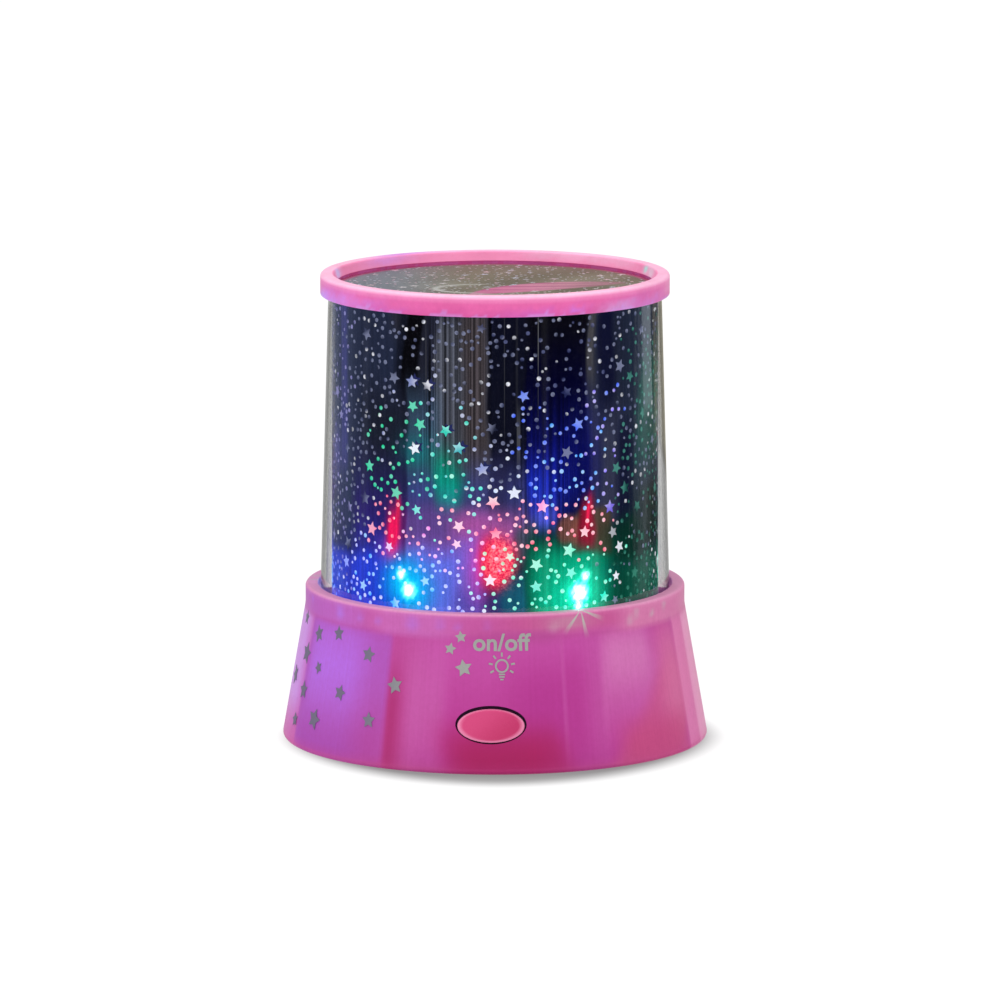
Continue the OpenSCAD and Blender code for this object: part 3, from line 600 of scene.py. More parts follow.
def film_layers(left, right, far):
    """Painted glow, shade and reflections on a third of the film, from the LEDs left, right and far behind
    it.
    """
    near, beyond, back = TONES[left], TONES[right], TONES[far]
    slate, unlit = (34, 41, 64), (6, 6, 11)
    dusk = between(near["deep"], (110, 62, 108), 0.35)
    lilac = between(near["mid"], between(back["pale"], back["mid"], 0.35), 0.44)
    haze = between(near["mid"], (160, 164, 255), 0.5)
    mixed = np.minimum(np.asarray(back["mid"]) + 0.5 * np.asarray(near["mid"]), 255)
    rose = between(between(back["mid"], near["mid"], 0.4), (200, 200, 220), 0.25)
    umber = between(between(back["deep"], beyond["deep"], 0.3), (150, 120, 90), 0.4)
    return [
        Patch(slate, -62, -34, 60, 145, (6, 3), 8),
        Patch((50, 44, 46), -38, -31, 120, 145, 3, 5, 0.5),
        Patch((15, 19, 34), -34.5, -31, 100, 145, (1.5, 0.8), 8, 0.8),
        Patch((30, 32, 46), -31, -18, 88, 145, (0.9, 2), 8),
        Patch(unlit, -31, -24.3, 104, 145, (0.8, 0.8), 7, 1, 0.1),
        Patch((70, 73, 84), -21.5, 3, 72, 127, (1.2, 3), 6, 0.95, 0.12),
        Patch((26, 30, 46), -50, -31, 66, 103, (6, 1.0), 7),
        Patch((58, 51, 54), -10, -1, 84, 135, 2.5, 8, 0.85),
        Patch(unlit, -0.9, 36, 54, 145, (0.6, 0.8), 6),
        Patch((12, 15, 36), -0.9, 12, 76, 145, 1.5, 8, 0.7),
        Patch((0, 0, 36), 12, 35, 90, 118, (1, 0.8), 12, 0.9),
        Patch(between(slate, (70, 70, 96), 0.5), 35.2, 64, 60, 106, (0.8, 7), 8, 0.95, -0.05),
        Patch((30, 36, 56), 35.2, 64, 98, 145, (0.8, 7), 8, 0.9),
        Patch((74, 71, 72), 35.3, 38.4, 106, 128, (0.5, 1.0), 8, 0.75, 0.05),
        Patch((9, 12, 42), 40, 47, 100, 145, (2, 2), 8, 0.85),
        Patch(between((6, 40, 34), beyond["deep"], 0.3), 42, 130, 38, 84, 3, 4, 0.95, 1.1),
        Patch(between(near["deep"], (0, 0, 40), 0.3), 12, 39, 69, 98, (0.9, 5), 12, 0.95),
        Patch(between(near["deep"], near["mid"], 0.34), 12, 26, 71, 86, (0.9, 8), 7, 0.9),
        Spot(near["mid"], 16.4, 77, 5.0, 6, 0.4),
        Spot(between(near["dot"], near["violet"], 0.5), 17.6, 68.8, 5.2, 4.8, 0.9),
        Patch(between((60, 72, 102), beyond["mid"], 0.08), -31, -19, 68, 104, (0.8, 4), 8, 0.85),
        Spot(between(beyond["mid"], (30, 110, 150), 0.5), -27, 88, 7, 5, 0.6),
        Patch(between((60, 70, 136), near["mid"], 0.1), -31, -20, 62, 80, (0.8, 2), 6, 0.9),
        Spot(beyond["mid"], -17, 82, 4.5, 6, 0.6),
        Patch(between(beyond["mid"], (10, 116, 120), 0.5), -19.8, -8.5, 66, 82, (1.8, 3), 5, 0.95, -0.1),
        Spot(between(beyond["dot"], (20, 160, 180), 0.5), -14.8, 74, 3.6, 5.4, 0.9),
        Patch((58, 61, 124), -10, 12, 62, 84, (3, 2), 8, 0.85),
        Patch((36, 34, 66), -1, 5, 68, 88, 2, 6, 0.5),
        Patch(between(dusk, (30, 40, 70), 0.5), -64, -31, 66, 84, (7, 0.9), 8, 0.8),
        Patch(dusk, -64, -31, 56, 74, (7, 0.9), 6, 0.9),
        Patch(between(dusk, near["mid"], 0.3), -64, -31, 52, 65, (6, 0.9), 5, 0.9),
        Patch(lilac, -31, -1, 54, 71.5, (1.0, 6), 3, 0.97),
        Patch(between(lilac, slate, 0.6), -31, -5, 62.5, 75, (1.0, 5), 5, 0.6),
        Patch(rose, -13, 10, 60, 72, (5, 5), 4, 0.85),
        Patch(near["mid"], -64, -29, 34, 57.5, (8, 6), 3.0, 0.97),
        Patch(haze, -31, -7, 36, 60.5, (5, 7), 4, 0.95),
        Patch(between(haze, lilac, 0.55), -13, -3, 42, 64, (4, 3), 4, 0.75),
        Patch(between(near["deep"], (60, 80, 110), 0.5), -3, 12, 34, 50, (4, 1.5), 3.5, 0.85),
        Patch(between(beyond["mid"], (20, 30, 120), 0.45), 3.5, 12, 34, 50, (2.5, 1.5), 3.5, 0.8),
        Patch(between(near["mid"], (110, 80, 120), 0.5), -13, -2, 34, 49, (3, 3), 3, 0.7),
        Patch((60, 72, 86), 7.5, 15, 56, 68, (1.6, 1.6), 3, 0.85),
        Patch(between(beyond["mid"], (30, 60, 110), 0.75), 4, 15, 34, 55, (3, 3), 3, 0.8),
        Patch(beyond["deep"], 12.5, 72, 34, 65, (1.6, 6), 3.5, 0.95),
        Patch(beyond["mid"], 14.5, 46, 34, 61.5, (4, 9), 3.5, 0.95),
        Patch(beyond["mid"], 30, 50, 34, 52, (4, 7), 4, 0.85),
        Spot(between(beyond["deep"], near["bright"], 0.4), 52, 53.5, 8, 2.4, 0.7),
        Spot(umber, 27.5, 66.2, 4.8, 4.4, 0.95, 4),
        Patch(between(umber, (60, 60, 38), 0.6), 30, 46.5, 58.6, 71.5, (2, 1.5), 1.6, 0.9),
        Spot(between(umber, (150, 80, 70), 0.5), 30.5, 65.2, 2.2, 4.4, 0.8, 3),
        Spot(between(back["deep"], back["mid"], 0.25), 36.2, 64.8, 3.6, 4.8, 0.95, 2.2),
        Patch(between(back["mid"], (30, 0, 10), 0.5), 32, 38.4, 61, 75, (1.6, 1.2), 4, 0.95),
        Spot(back["mid"], 35.8, 70.5, 1.0, 5, 1.1),
        Patch(between(dusk, back["mid"], 0.35), -40.5, -31, 57, 73, (2.0, 0.8), 4, 0.6),
        Spot(between(mixed, near["mid"], 0.6), -39.5, 59, 5.2, 4.2, 0.7),
        Spot(mixed, -36.6, 60.4, 2.6, 3.2, 0.9),
        Spot(between(back["mid"], (255, 0, 120), 0.3), -36.8, 65.4, 2.9, 5.8, 1.4, 1.3),
        Spot(back["mid"], -35, 72.5, 1.1, 4, 0.9),
        Spot(mixed, -4, 54.5, 5.4, 8.4, 0.6),
        Spot(back["mid"], 2.2, 57.8, 7.1, 8.0, 1.15, 2.4),
        Spot(near["bright"], -31.4, 49.8, 9, 8, 1.1, 1.2),
        Spot(beyond["bright"], 30.4, 47.2, 11.5, 7.6, 0.9),
    ]


# Painted glow and shade of the film on the far sides of the two front LEDs, by its angle from the button
FILM_EDGES = (
    Patch((30, 38, 58), 52, 98, 64, 145, (6, 6), 3, 0.9),
    Patch((14, 76, 66), 61, 84, 82, 112, (3, 5), 8, 0.85, 0.12),
    Patch((10, 14, 42), 49, 57, 66, 94, (2.5, 2.5), 6, 0.75),
    Patch((4, 44, 36), 46, 98, 30, 67.5, (9, 8), 2.5, 0.95),
    Patch((3, 26, 24), 62, 98, 57, 75, (7, 8), 4, 0.95),
    Patch((44, 52, 80), -92, -58, 60, 145, (6, 5), 8, 0.97),
    Patch((46, 48, 92), -92, -62, 54, 74, (6, 4), 5, 0.6),
    Patch((84, 78, 176), -67, -62, 80, 145, (1.2, 1.4), 6, 0.4),
    Patch((42, 60, 214), -92, -57, 30, 57, (6, 8), 2.4, 0.9),
    Spot((96, 90, 190), -73, 84, 6, 8, 0.5),
    Patch((2, 84, 66), 50, 98, 30, 55.5, (9, 8), 3, 0.85),
)

# Where an LED's own light meets the film, as angle and height, with the radius and power of its core
CORES = ((-33.5, 53.1, 1.25, 2.4), (-30.4, 48.9, 1.7, 5), (34.3, 52.7, 1.25, 2.4), (31.9, 48.2, 2.1, 7),
         (31.6, 44.6, 1.1, 3))

# Where a third of the film shows painted crease sheen, and where it shows the grainy light of its far LED
CREASE_SHEEN = (Patch(None, -21.5, 0.5, 86, 160, (1.2, 1.2), 12, 1, 0.12),
           Patch(None, 9, 30, 64, 104, (2, 6), 8, 0.45))
GRAINY = Spot(None, 2.8, 58, 4.6, 6.0, 1.5, 1.4)


def sector_of(angle):
    """The third of the shade that an angle is in, and the angle from its middle."""
    sector = np.round(np.asarray(angle) / SECTOR) % 3
    return sector, wrapped(angle, SECTOR)


FILM_LAYERS = [film_layers(*leds_seen(sector)) for sector in range(3)]


def film_glow(angle, height, radius=None):
    """The scene-linear glow of the film at angles and heights in mm."""
    sectors, place = sector_of(angle)
    glow = np.zeros((len(angle), 3))
    bent = place + 0.9 * drift(height * 0.13, place * 0.09), height + 1.1 * drift(place * 0.16, height * 0.1)
    for sector, layers in enumerate(FILM_LAYERS):
        here = sectors == sector
        tint = layered((14, 15, 24), layers, bent[0][here], bent[1][here])
        glow[here] = linear(layered(tint, FILM_EDGES, angle[here], bent[1][here]))
        for middle, level, reach, power in CORES:
            led = leds_seen(sector)[0 if middle < 0 else 1]
            arc = np.radians(place[here] - middle) * FILM_HIGH.x / MM
            ragged = 1 + 0.16 * drift(arc * 2.1, height[here] * 1.9)
            away = np.hypot(arc, height[here] - level) * ragged / reach
            core = power * np.exp(-away ** 2) + 0.3 * np.exp(-away * 0.9)
            hot = linear(between(TONES[led]["bright"], WHITE, np.exp(-0.7 * away ** 2)))
            glow[here] += core[:, None] * hot
    return glow


def film_crease_sheen(angle, height, radius):
    """How strongly each part of the film shows the painted sheen along its upright creases."""
    _, place = sector_of(angle)
    share = sum(patch.weight(place, height) for patch in CREASE_SHEEN)
    return (0.12 + 0.88 * share)[:, None]


def film_sparkle(angle, height, radius):
    """The grainy light of the far LED, red in the front third and pale blue in the others."""
    sector, place = sector_of(angle)
    tint = np.where(sector[:, None] == 0, linear((255, 150, 150)), linear((190, 225, 255)))
    return GRAINY.weight(place, height)[:, None] * tint


def window_tints(left, right, far):
    """The painted colours of light that a window may show, each with the area where it's likely."""
    near, beyond, back = TONES[left], TONES[right], TONES[far]
    dim, pearl = (66, 74, 112), (128, 138, 186)
    return [
        Patch(beyond["dot"], -49, -18, 75, 97, 4, 5, 6),
        Patch(beyond["clear"], -34, -6, 68, 98, 4, 5, 4),
        Patch(beyond["pale"], -26, -5, 64, 86, 4, 4, 2),
        Patch(near["dot"], 9, 52, 73, 102, 4, 6, 5),
        Patch(near["clear"], 13, 44, 69, 92, 4, 5, 4),
        Patch(near["violet"], 34, 58, 72, 100, 4, 6, 3),
        Patch(between(beyond["dot"], (90, 180, 235), 0.6), -27, -7, 76, 98, 4, 5, 4),
        Patch(back["dot"], -46, 50, 58, 73, 5, 3, 6),
        Patch(back["pale"], -44, 50, 57, 73, 5, 3, 7),
        Patch(back["violet"], -32, 4, 54, 73, 5, 3, 3),
        Patch(near["pale"], -62, -2, 40, 63, 5, 3, 6),
        Patch(near["clear"], -62, -16, 40, 60, 5, 3, 5),
        Patch(beyond["pale"], -6, 58, 40, 61, 5, 3, 6),
        Patch(beyond["clear"], 10, 62, 40, 63, 5, 3, 4),
        Patch((186, 206, 244), -34, 34, 40, 92, 4, 6, 0.35),
        Patch(pearl, -40, 12, 76, 106, 4, 8, 0.9),
        Patch(dim, -80, 80, 84, 150, 4, 8, 3.2),
        Patch(dim, -64, -45, 62, 104, 4, 6, 3),
        Patch((40, 48, 96), 8, 40, 88, 150, 4, 8, 3.5),
    ]


WINDOW_TINTS = [window_tints(*leds_seen(sector)) for sector in range(3)]
# The same for the film on the far sides of the two front LEDs
EDGE_TINTS = (
    Patch((66, 74, 112), -100, 100, 30, 150, 4, 8, 1.5),
    Patch((12, 100, 82), 46, 100, 30, 150, 6, 8, 2),
    Patch((8, 92, 70), 46, 100, 30, 76, 6, 8, 6),
    Patch((84, 80, 160), -100, -52, 30, 150, 5, 8, 4),
    Patch((76, 104, 236), -100, -52, 30, 55, 5, 4, 12),
)


def window_light(angle, height, dice):
    """The scene-linear colours of one window, across it and where it gleams."""
    sector, place = sector_of(angle)
    choices = WINDOW_TINTS[int(sector)]
    if dice.random() < sum(edge.weight(angle, height) for edge in FILM_EDGES):
        choices, place = EDGE_TINTS, angle
    chosen = dice.choices(choices, [float(choice.weight(place, height)) + 1e-6 for choice in choices])[0]
    level = sum(chosen.tint) / 765
    light = linear(chosen.tint) * (dice.uniform(0.9, 1.4) if level > 0.45 else dice.uniform(0.08, 0.8))
    if dice.random() < 0.34 - 0.5 * level:
        return light, linear((232, 234, 244)) * dice.uniform(0.5, 1.1)
    return light, linear(between(chosen.tint, WHITE, 0.8 * level))


# Painted light and shade of the LEDs inside the housing, the shade of inner ribs, and a highlight on the rim
HOUSING_LAYERS = (
    Patch((212, 150, 236), -110, -68, -9, 50, 8, 6),
    Patch((212, 96, 176), -110, -66, -9, 10, 6, 6, 0.8),
    Patch((180, 84, 190), -69, -30.6, 2.4, 38.0, (0.8, 1.4), 2.6, 1, 0.02),
    Patch((186, 112, 242), -67, -40.5, 15, 37.5, (4, 7), 14, 0.85),
    Patch((172, 70, 178), -67, -33, -9, 10, (4, 2), 9, 0.8),
    Patch((188, 66, 156), -41, -30.4, -9, 16, (7, 1), 12, 0.6),
    Patch((194, 72, 156), -30.4, -22, -9, 39, (1, 5), 4, 0.9),
    Patch((178, 38, 114), -30.4, -25.5, -9, 26, (1, 3.5), 9, 0.85),
    Patch((206, 100, 178), -25, -13, 4, 39, (4, 3), 14, 0.65),
    Patch((204, 86, 176), -19, 34, 24, 45, 6, 9, 0.6),
    Patch((184, 44, 146), 6, 34, 6, 30, 8, 8, 0.7),
    Patch((188, 54, 150), 20.8, 33.3, -9, 30, (0.7, 0.7), 12, 0.6),
    Patch((204, 96, 176), 28, 33.5, 4, 39, (4, 1), 14, 0.5),
    Spot((206, 96, 176), 20.9, 20, 0.35, 22, 0.4, 3),
    Spot((214, 112, 184), 33.5, 20, 0.5, 22, 0.7, 3),
    Patch((180, 28, 108), -11, 22, -9, 13, (6, 4), 6, 0.85, -0.3),
    Patch((180, 14, 94), -9, 16, -9, 10, (6, 6), 5, 0.8),
    Patch((210, 108, 182), 33.5, 58, 13, 38, (1, 8), 13, 0.75),
    Patch((220, 132, 192), 35, 52, 25, 39, 4, 7, 0.65),
    Patch((206, 82, 142), 43, 68, -9, 29, (5, 3), 8, 0.85, 0.9),
    Patch((222, 118, 166), 56, 68, 8, 38, 5, 8, 0.65),
    Patch((202, 70, 128), 38, 67, -9, 12, (5, 4), 5, 0.7),
    Patch((230, 130, 184), 67.5, 110, -9, 50, (0.9, 6), 6, 0.9),
    Patch((242, 168, 208), 76, 110, -9, 50, (0.9, 6), 6, 0.8),
    Patch((206, 66, 126), 138, 222, -9, 36, 16, 9, 0.85),
    Patch((220, 98, 168), 146, 214, 22, 50, 14, 7, 0.6),
    Patch((198, 84, 172), 100, 140, -9, 50, 6, 6, 0.6),
    Patch((202, 88, 176), 220, 250, -9, 50, 6, 6, 0.6),
    Patch((214, 84, 150), *ALL_ROUND, -9, 2.4, 1, 0.8, 0.45),
    Patch((178, 62, 134), *ALL_ROUND, 37.0, 60, 1, 0.9, 0.3),
    Patch((203, 87, 164), *ALL_ROUND, 38.2, 60, 1, 1.1, 0.9),
    Patch((206, 84, 140), 4, 44, 39.5, 60, 8, 1.5, 0.5),
    Patch((184, 72, 150), -4, 20, 36.4, 39.6, (6, 5), 1.2, 0.6),
    Patch((190, 102, 206), -110, -42, 38.0, 60, (3, 8), 1.1, 0.75),
    Patch((208, 114, 198), -37, -12, 37.4, 60, (5, 8), 1.1, 0.6),
    Spot((196, 168, 172), 23.5, 41.6, 8, 1.8, 0.6),
    Patch((224, 136, 178), 42, 110, 37.6, 60, (6, 3), 1.1, 0.75),
    Patch((244, 168, 208), *ALL_ROUND, 43.7, 60, 1, 0.6, 0.9),
)
# Light of the film's windows on the rim, as angle, height, size and strength
RIM_GLINTS = (
    (-52.6, 41.1, 1.9, 0.9), (-71.4, 42.0, 1.2, 0.6), (-43.3, 40.9, 1.4, 0.5), (-36.2, 40.6, 1.3, 0.5),
    (-24.2, 41.0, 2.2, 0.55), (-15.3, 41.2, 1.6, 0.4), (-10.0, 40.7, 1.2, 0.4), (-1.2, 41.3, 1.3, 0.3),
    (18.8, 40.4, 1.6, 0.35), (45.6, 39.9, 1.3, 0.5), (48.4, 41.6, 1.2, 0.75), (55.9, 40.8, 1.0, 0.8),
    (63.0, 41.9, 1.2, 0.7), (101, 41, 1.6, 0.6), (118, 40.6, 1.3, 0.5), (140, 41.2, 1.8, 0.6),
    (163, 40.6, 1.4, 0.5), (-170, 41.2, 1.7, 0.6), (-147, 40.8, 1.3, 0.5), (-120, 41.3, 1.8, 0.6))


def rim_glint(angle, height, size, strength):
    """A round glint on the rim, violet to the left and greyish to the right."""
    tint = (186, 116, 228) if angle < 12 else (202, 176, 186)
    return Spot(tint, angle, height, math.degrees(size / RIM_RADIUS), size, strength, 1.4)


def housing_tint(angle, height, radius):
    """The scene-linear colour of the housing, with painted light, shade and glints, mostly from its LEDs."""
    glints = tuple(rim_glint(*glint) for glint in RIM_GLINTS)
    tint = layered((192, 58, 154), HOUSING_LAYERS + glints, angle, height)
    # painted glints of the LEDs on the inner wall of the seat
    seat = between((222, 176, 236), (232, 132, 206), ramp(angle + 20, 60))
    on_seat = ramp(49.9 - radius, 0.2) * ramp(height - 41.8, 0.3)
    return linear(between(tint, seat, on_seat))


# Painted light and shade on the ring: paler at the top, darker to the foot, with glows and glints of the LEDs
RING_LAYERS = (
    Patch((222, 96, 162), *ALL_ROUND, 100, 130.9, 1, 0.8),
    Patch((208, 80, 152), *ALL_ROUND, 100, 127.6, 1, 1.4, 0.75),
    Spot((208, 136, 228), -66, 127.4, 24, 2.4, 0.9),
    Spot((190, 140, 240), -80, 126.2, 12, 1.0, 0.9),
    Spot((205, 96, 190), -38, 126.6, 9, 1.2, 0.6),
    Spot((200, 98, 194), 12, 126.8, 9, 1.4, 0.5),
    Spot((196, 110, 214), 30, 128.0, 3.4, 1.0, 0.8),
    Spot((200, 150, 205), 46, 127.0, 8, 1.8, 0.85),
    Spot((206, 126, 204), 62, 127.2, 14, 2.4, 0.8),
    Spot((226, 160, 200), 84, 128.4, 12, 2.6, 0.7),
    Spot((206, 96, 180), 178, 127.0, 30, 2.0, 0.6),
    Patch((196, 160, 236), *ALL_ROUND, 100, 126.25, 1, 0.12, 0.5),
)

# Painted light and shade on the wall of the ring's bore, and a painted gleam on its flat top
BORE_LAYERS = (
    Patch((255, 186, 220), 120, 170, 130, 140, 8, 0.6, 0.7),
    Patch((176, 58, 128), *ALL_ROUND, 100, 128.7, 1, 0.3, 0.9),
    Patch((150, 30, 92), 150, 232, 100, 128.45, 20, 0.1),
    Spot((236, 160, 236), -136, 130.8, 11, 1.3, 0.9),
    Spot((214, 204, 255), -99, 130.6, 4, 1.6, 1.0),
    Spot((170, 255, 240), 110, 130.8, 2, 1.0, 1.0),
    Spot((236, 225, 240), 103, 130.6, 5, 1.8, 0.8),
)
TOP_GLEAM = Spot((218, 142, 236), -144, 132, 12, 40, 0.75)


def ring_tint(angle, height, radius):
    """The scene-linear colour of the top ring, with painted light, shade, glints and a gleam on its top."""
    uneven = drift(angle * 0.21, height * 0.9) + 0.6 * drift(angle * 0.9 + 7, height * 2.3)
    ragged = height + 0.9 * uneven * ramp(129.4 - height, 1.5)
    outside = layered((255, 192, 222), RING_LAYERS, angle + 3 * uneven, ragged)
    bore = layered((255, 150, 196), BORE_LAYERS, angle, height + 0.25 * drift(angle * 0.5, height * 0.1))
    tint = between(outside, bore, ramp(45.5 - radius, 0.15))
    on_top = ramp(height - 131.6, 0.25) * ramp(radius - 45.4, 0.2)
    return linear(between(tint, TOP_GLEAM.tint, on_top * TOP_GLEAM.weight(angle, TOP_GLEAM.height)))


# ---------- meshes ----------

Corner = namedtuple("Corner", "radius height rounding rows", defaults=(0, 0))
Boss = namedtuple("Boss", "out radius bore")


def spun(turn):
    """A turn about Z, in radians."""
    return Matrix.Rotation(turn, 4, "Z")


def sized(x, y, z=1):
    """A scale along each axis."""
    return Matrix.Diagonal((x, y, z, 1))


def on_wall(angle, radius, height):
    """Stands a shape's XY plane upright against the lamp at an angle, a radius and a height."""
    return spun(math.radians(angle)) @ Matrix.Translation((0, -radius, height)) \
        @ Matrix.Rotation(math.radians(90), 4, "X")


def add_object(name, data):
    """Puts a mesh, light, camera or text into the scene."""
    item = bpy.data.objects.new(name, data)
    bpy.context.scene.collection.objects.link(item)
    return item


def as_mesh(name, bm):
    """Turns a bmesh into a mesh."""
    mesh = bpy.data.meshes.new(name)
    bm.to_mesh(mesh)
    bm.free()
    return mesh


def stamp(bm, mesh):
    """Adds a mesh to a bmesh, and gives its points there."""
    start = len(bm.verts)
    bm.from_mesh(mesh)
    bm.verts.ensure_lookup_table()
    return bm.verts[start:]


def extrude(bm, faces, move):
    """Extrudes faces and moves the new ones."""
    grown = bmesh.ops.extrude_face_region(bm, geom=faces)["geom"]
    bmesh.ops.translate(bm, vec=move, verts=[part for part in grown if isinstance(part, bmesh.types.BMVert)])


def evaluated(item):
    """The mesh of an object with its modifiers or its text made into faces."""
    return bpy.data.meshes.new_from_object(item.evaluated_get(bpy.context.evaluated_depsgraph_get()))


def lathe(corners, steps=FULL_TURN):
    """A closed outline of corners, in metres, turned about Z. Rows split the edge to the next corner."""
    bm = bmesh.new()
    verts = [bm.verts.new((corner.radius, 0, corner.height)) for corner in corners]
    for corner, first, second in zip(corners, verts, verts[1:] + verts[:1]):
        if first.co.x > 0 or second.co.x > 0:
            edge = bm.edges.new((first, second))
            for left in range(corner.rows, 0, -1):
                first = bmesh.utils.edge_split(edge, first, 1 / (left + 1))[1]
    for corner, vert in zip(corners, verts):
        if corner.rounding:
            bmesh.ops.bevel(bm, geom=[vert], offset=corner.rounding, offset_type="OFFSET", segments=5,
                            profile=0.5, affect="VERTICES", material=-1)
    outline = add_object("outline", as_mesh("outline", bm))
    turn = outline.modifiers.new("turn", "SCREW")
    turn.steps = turn.render_steps = steps
    turn.use_merge_vertices = True
    turn.merge_threshold = 1e-7
    bm = bmesh.new()
    bm.from_mesh(evaluated(outline))
    bpy.data.objects.remove(outline)
    bmesh.ops.recalc_face_normals(bm, faces=bm.faces)
    return bm


def made(name, bm, body, materials, replaces=(), crease=CREASE):
    """Turns a bmesh into a finished piece that rides on a body."""
    piece = add_object(name, as_mesh(name, bm))
    for material in materials:
        piece.data.materials.append(material)
    piece.data.shade_smooth()
    piece.data.set_sharp_from_angle(angle=math.radians(crease))
    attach(piece, body)
    if replaces:
        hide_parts(*replaces)
    return piece


def paint(piece, name, rule):
    """Paints a colour on each point of a piece by a rule of its angle, and its height and radius in mm."""
    count = len(piece.data.vertices)
    spots = np.empty(count * 3)
    piece.data.vertices.foreach_get("co", spots)
    x, y, z = spots.reshape(-1, 3).T / MM
    tints = np.ones((count, 4))
    tints[:, :3] = rule(np.degrees(np.arctan2(x, -y)), z, np.hypot(x, y))
    layer = piece.data.attributes.new(name, "FLOAT_COLOR", "POINT")
    layer.data.foreach_set("color", tints.ravel())


def cut_away(piece, cutter, finish):
    """Subtracts a bmesh from a piece. The cut faces get the finish."""
    tool = add_object("cutter", as_mesh("cutter", cutter))
    tool.data.materials.append(finish)
    cut = piece.modifiers.new("cut", "BOOLEAN")
    cut.object = tool
    cut.operation = "DIFFERENCE"
    cut.solver = "EXACT"
    cut.material_mode = "TRANSFER"
    result = evaluated(piece)
    piece.modifiers.clear()
    piece.data = result
    bpy.data.objects.remove(tool)


def oval(width, height, depth, rounding=0.0):
    """An oval prism about the origin, its face towards +Z, with a rounded front edge."""
    bm = bmesh.new()
    bmesh.ops.create_cone(bm, cap_ends=True, segments=128, radius1=1, radius2=1, depth=depth)
    bmesh.ops.scale(bm, vec=(width / 2, height / 2, 1), verts=bm.verts)
    if rounding:
        front = [e for e in bm.edges if all(v.co.z > 0 for v in e.verts)]
        bmesh.ops.bevel(bm, geom=front, offset=rounding, offset_type="OFFSET", segments=4, profile=0.5,
                        affect="EDGES", material=-1)
    return bm


def window_shape(points, waist):
    """A unit dot, or a star whose inner corners lie at a share of its radius, as a thin solid."""
    bm = bmesh.new()
    bmesh.ops.create_cone(bm, cap_ends=True, segments=points, radius1=1, radius2=0.96, depth=2)
    if waist < 1:
        inner = [v for v in bm.verts if round(math.atan2(v.co.x, v.co.y) / math.tau * points) % 2]
        bmesh.ops.scale(bm, vec=(waist, waist, 1), verts=inner)
    return as_mesh("window", bm)


class Windows:
    """Many small dots and stars in one mesh, each with its own colour and gleam."""

    BATCH = 3000  # points, past which a batch is closed, because a small one is quicker to add to

    def __init__(self):
        self.shapes = {"dot": window_shape(8, 1), "star": window_shape(10, 0.49)}
        self.whole = bmesh.new()
        self.start_batch()

    def start_batch(self):
        """Opens an empty batch, whose points can hold a colour."""
        self.batch = bmesh.new()
        self.light = self.batch.verts.layers.float_color.new("light")

    def end_batch(self):
        """Moves the batch into the whole."""
        self.whole.from_mesh(as_mesh("batch", self.batch))

    def add(self, shape, placed, size, depth, lights, turn, start_at):
        """Stamps a shape. Its second colour gleams towards the turn, from a share of its size on."""
        fresh = stamp(self.batch, self.shapes[shape])
        toward = Vector((math.cos(turn), math.sin(turn), 0))
        for vert in fresh:
            share = ramp(vert.co.dot(toward) - start_at, 0.4)
            vert[self.light] = (*between(lights[0], lights[1], share), 1)
        bmesh.ops.transform(self.batch, matrix=placed @ sized(size, size, depth), verts=fresh)
        if len(self.batch.verts) > self.BATCH:
            self.end_batch()
            self.start_batch()

    def finished(self):
        """The bmesh with all the windows."""
        self.end_batch()
        return self.whole


class Scatter:
    """Seeded places, in mm, that keep clear of each other."""

    GAP = 0.3
    CELL = 6  # wider than any two neighbours, so that only the nearest cells are searched

    def __init__(self):
        self.cells = {}

    def take(self, spot, reach):
        """Keeps a place, and says whether it was free."""
        column, row = (int(side // self.CELL) for side in spot)
        near = [other for across in (-1, 0, 1) for up in (-1, 0, 1)
                for other in self.cells.get((column + across, row + up), ())]
        if any(math.dist(spot, other) < self.GAP + reach + size for other, size in near):
            return False
        self.cells.setdefault((column, row), []).append((spot, reach))
        return True

    def fill(self, count, somewhere, size):
        """Finds up to a count of free places, as place and size."""
        found = []
        for _ in range(count * 8):
            spot, reach = somewhere(), size()
            if len(found) < count and self.take(spot, reach):
                found.append((spot, reach))
        return found


# ---------- operators ----------

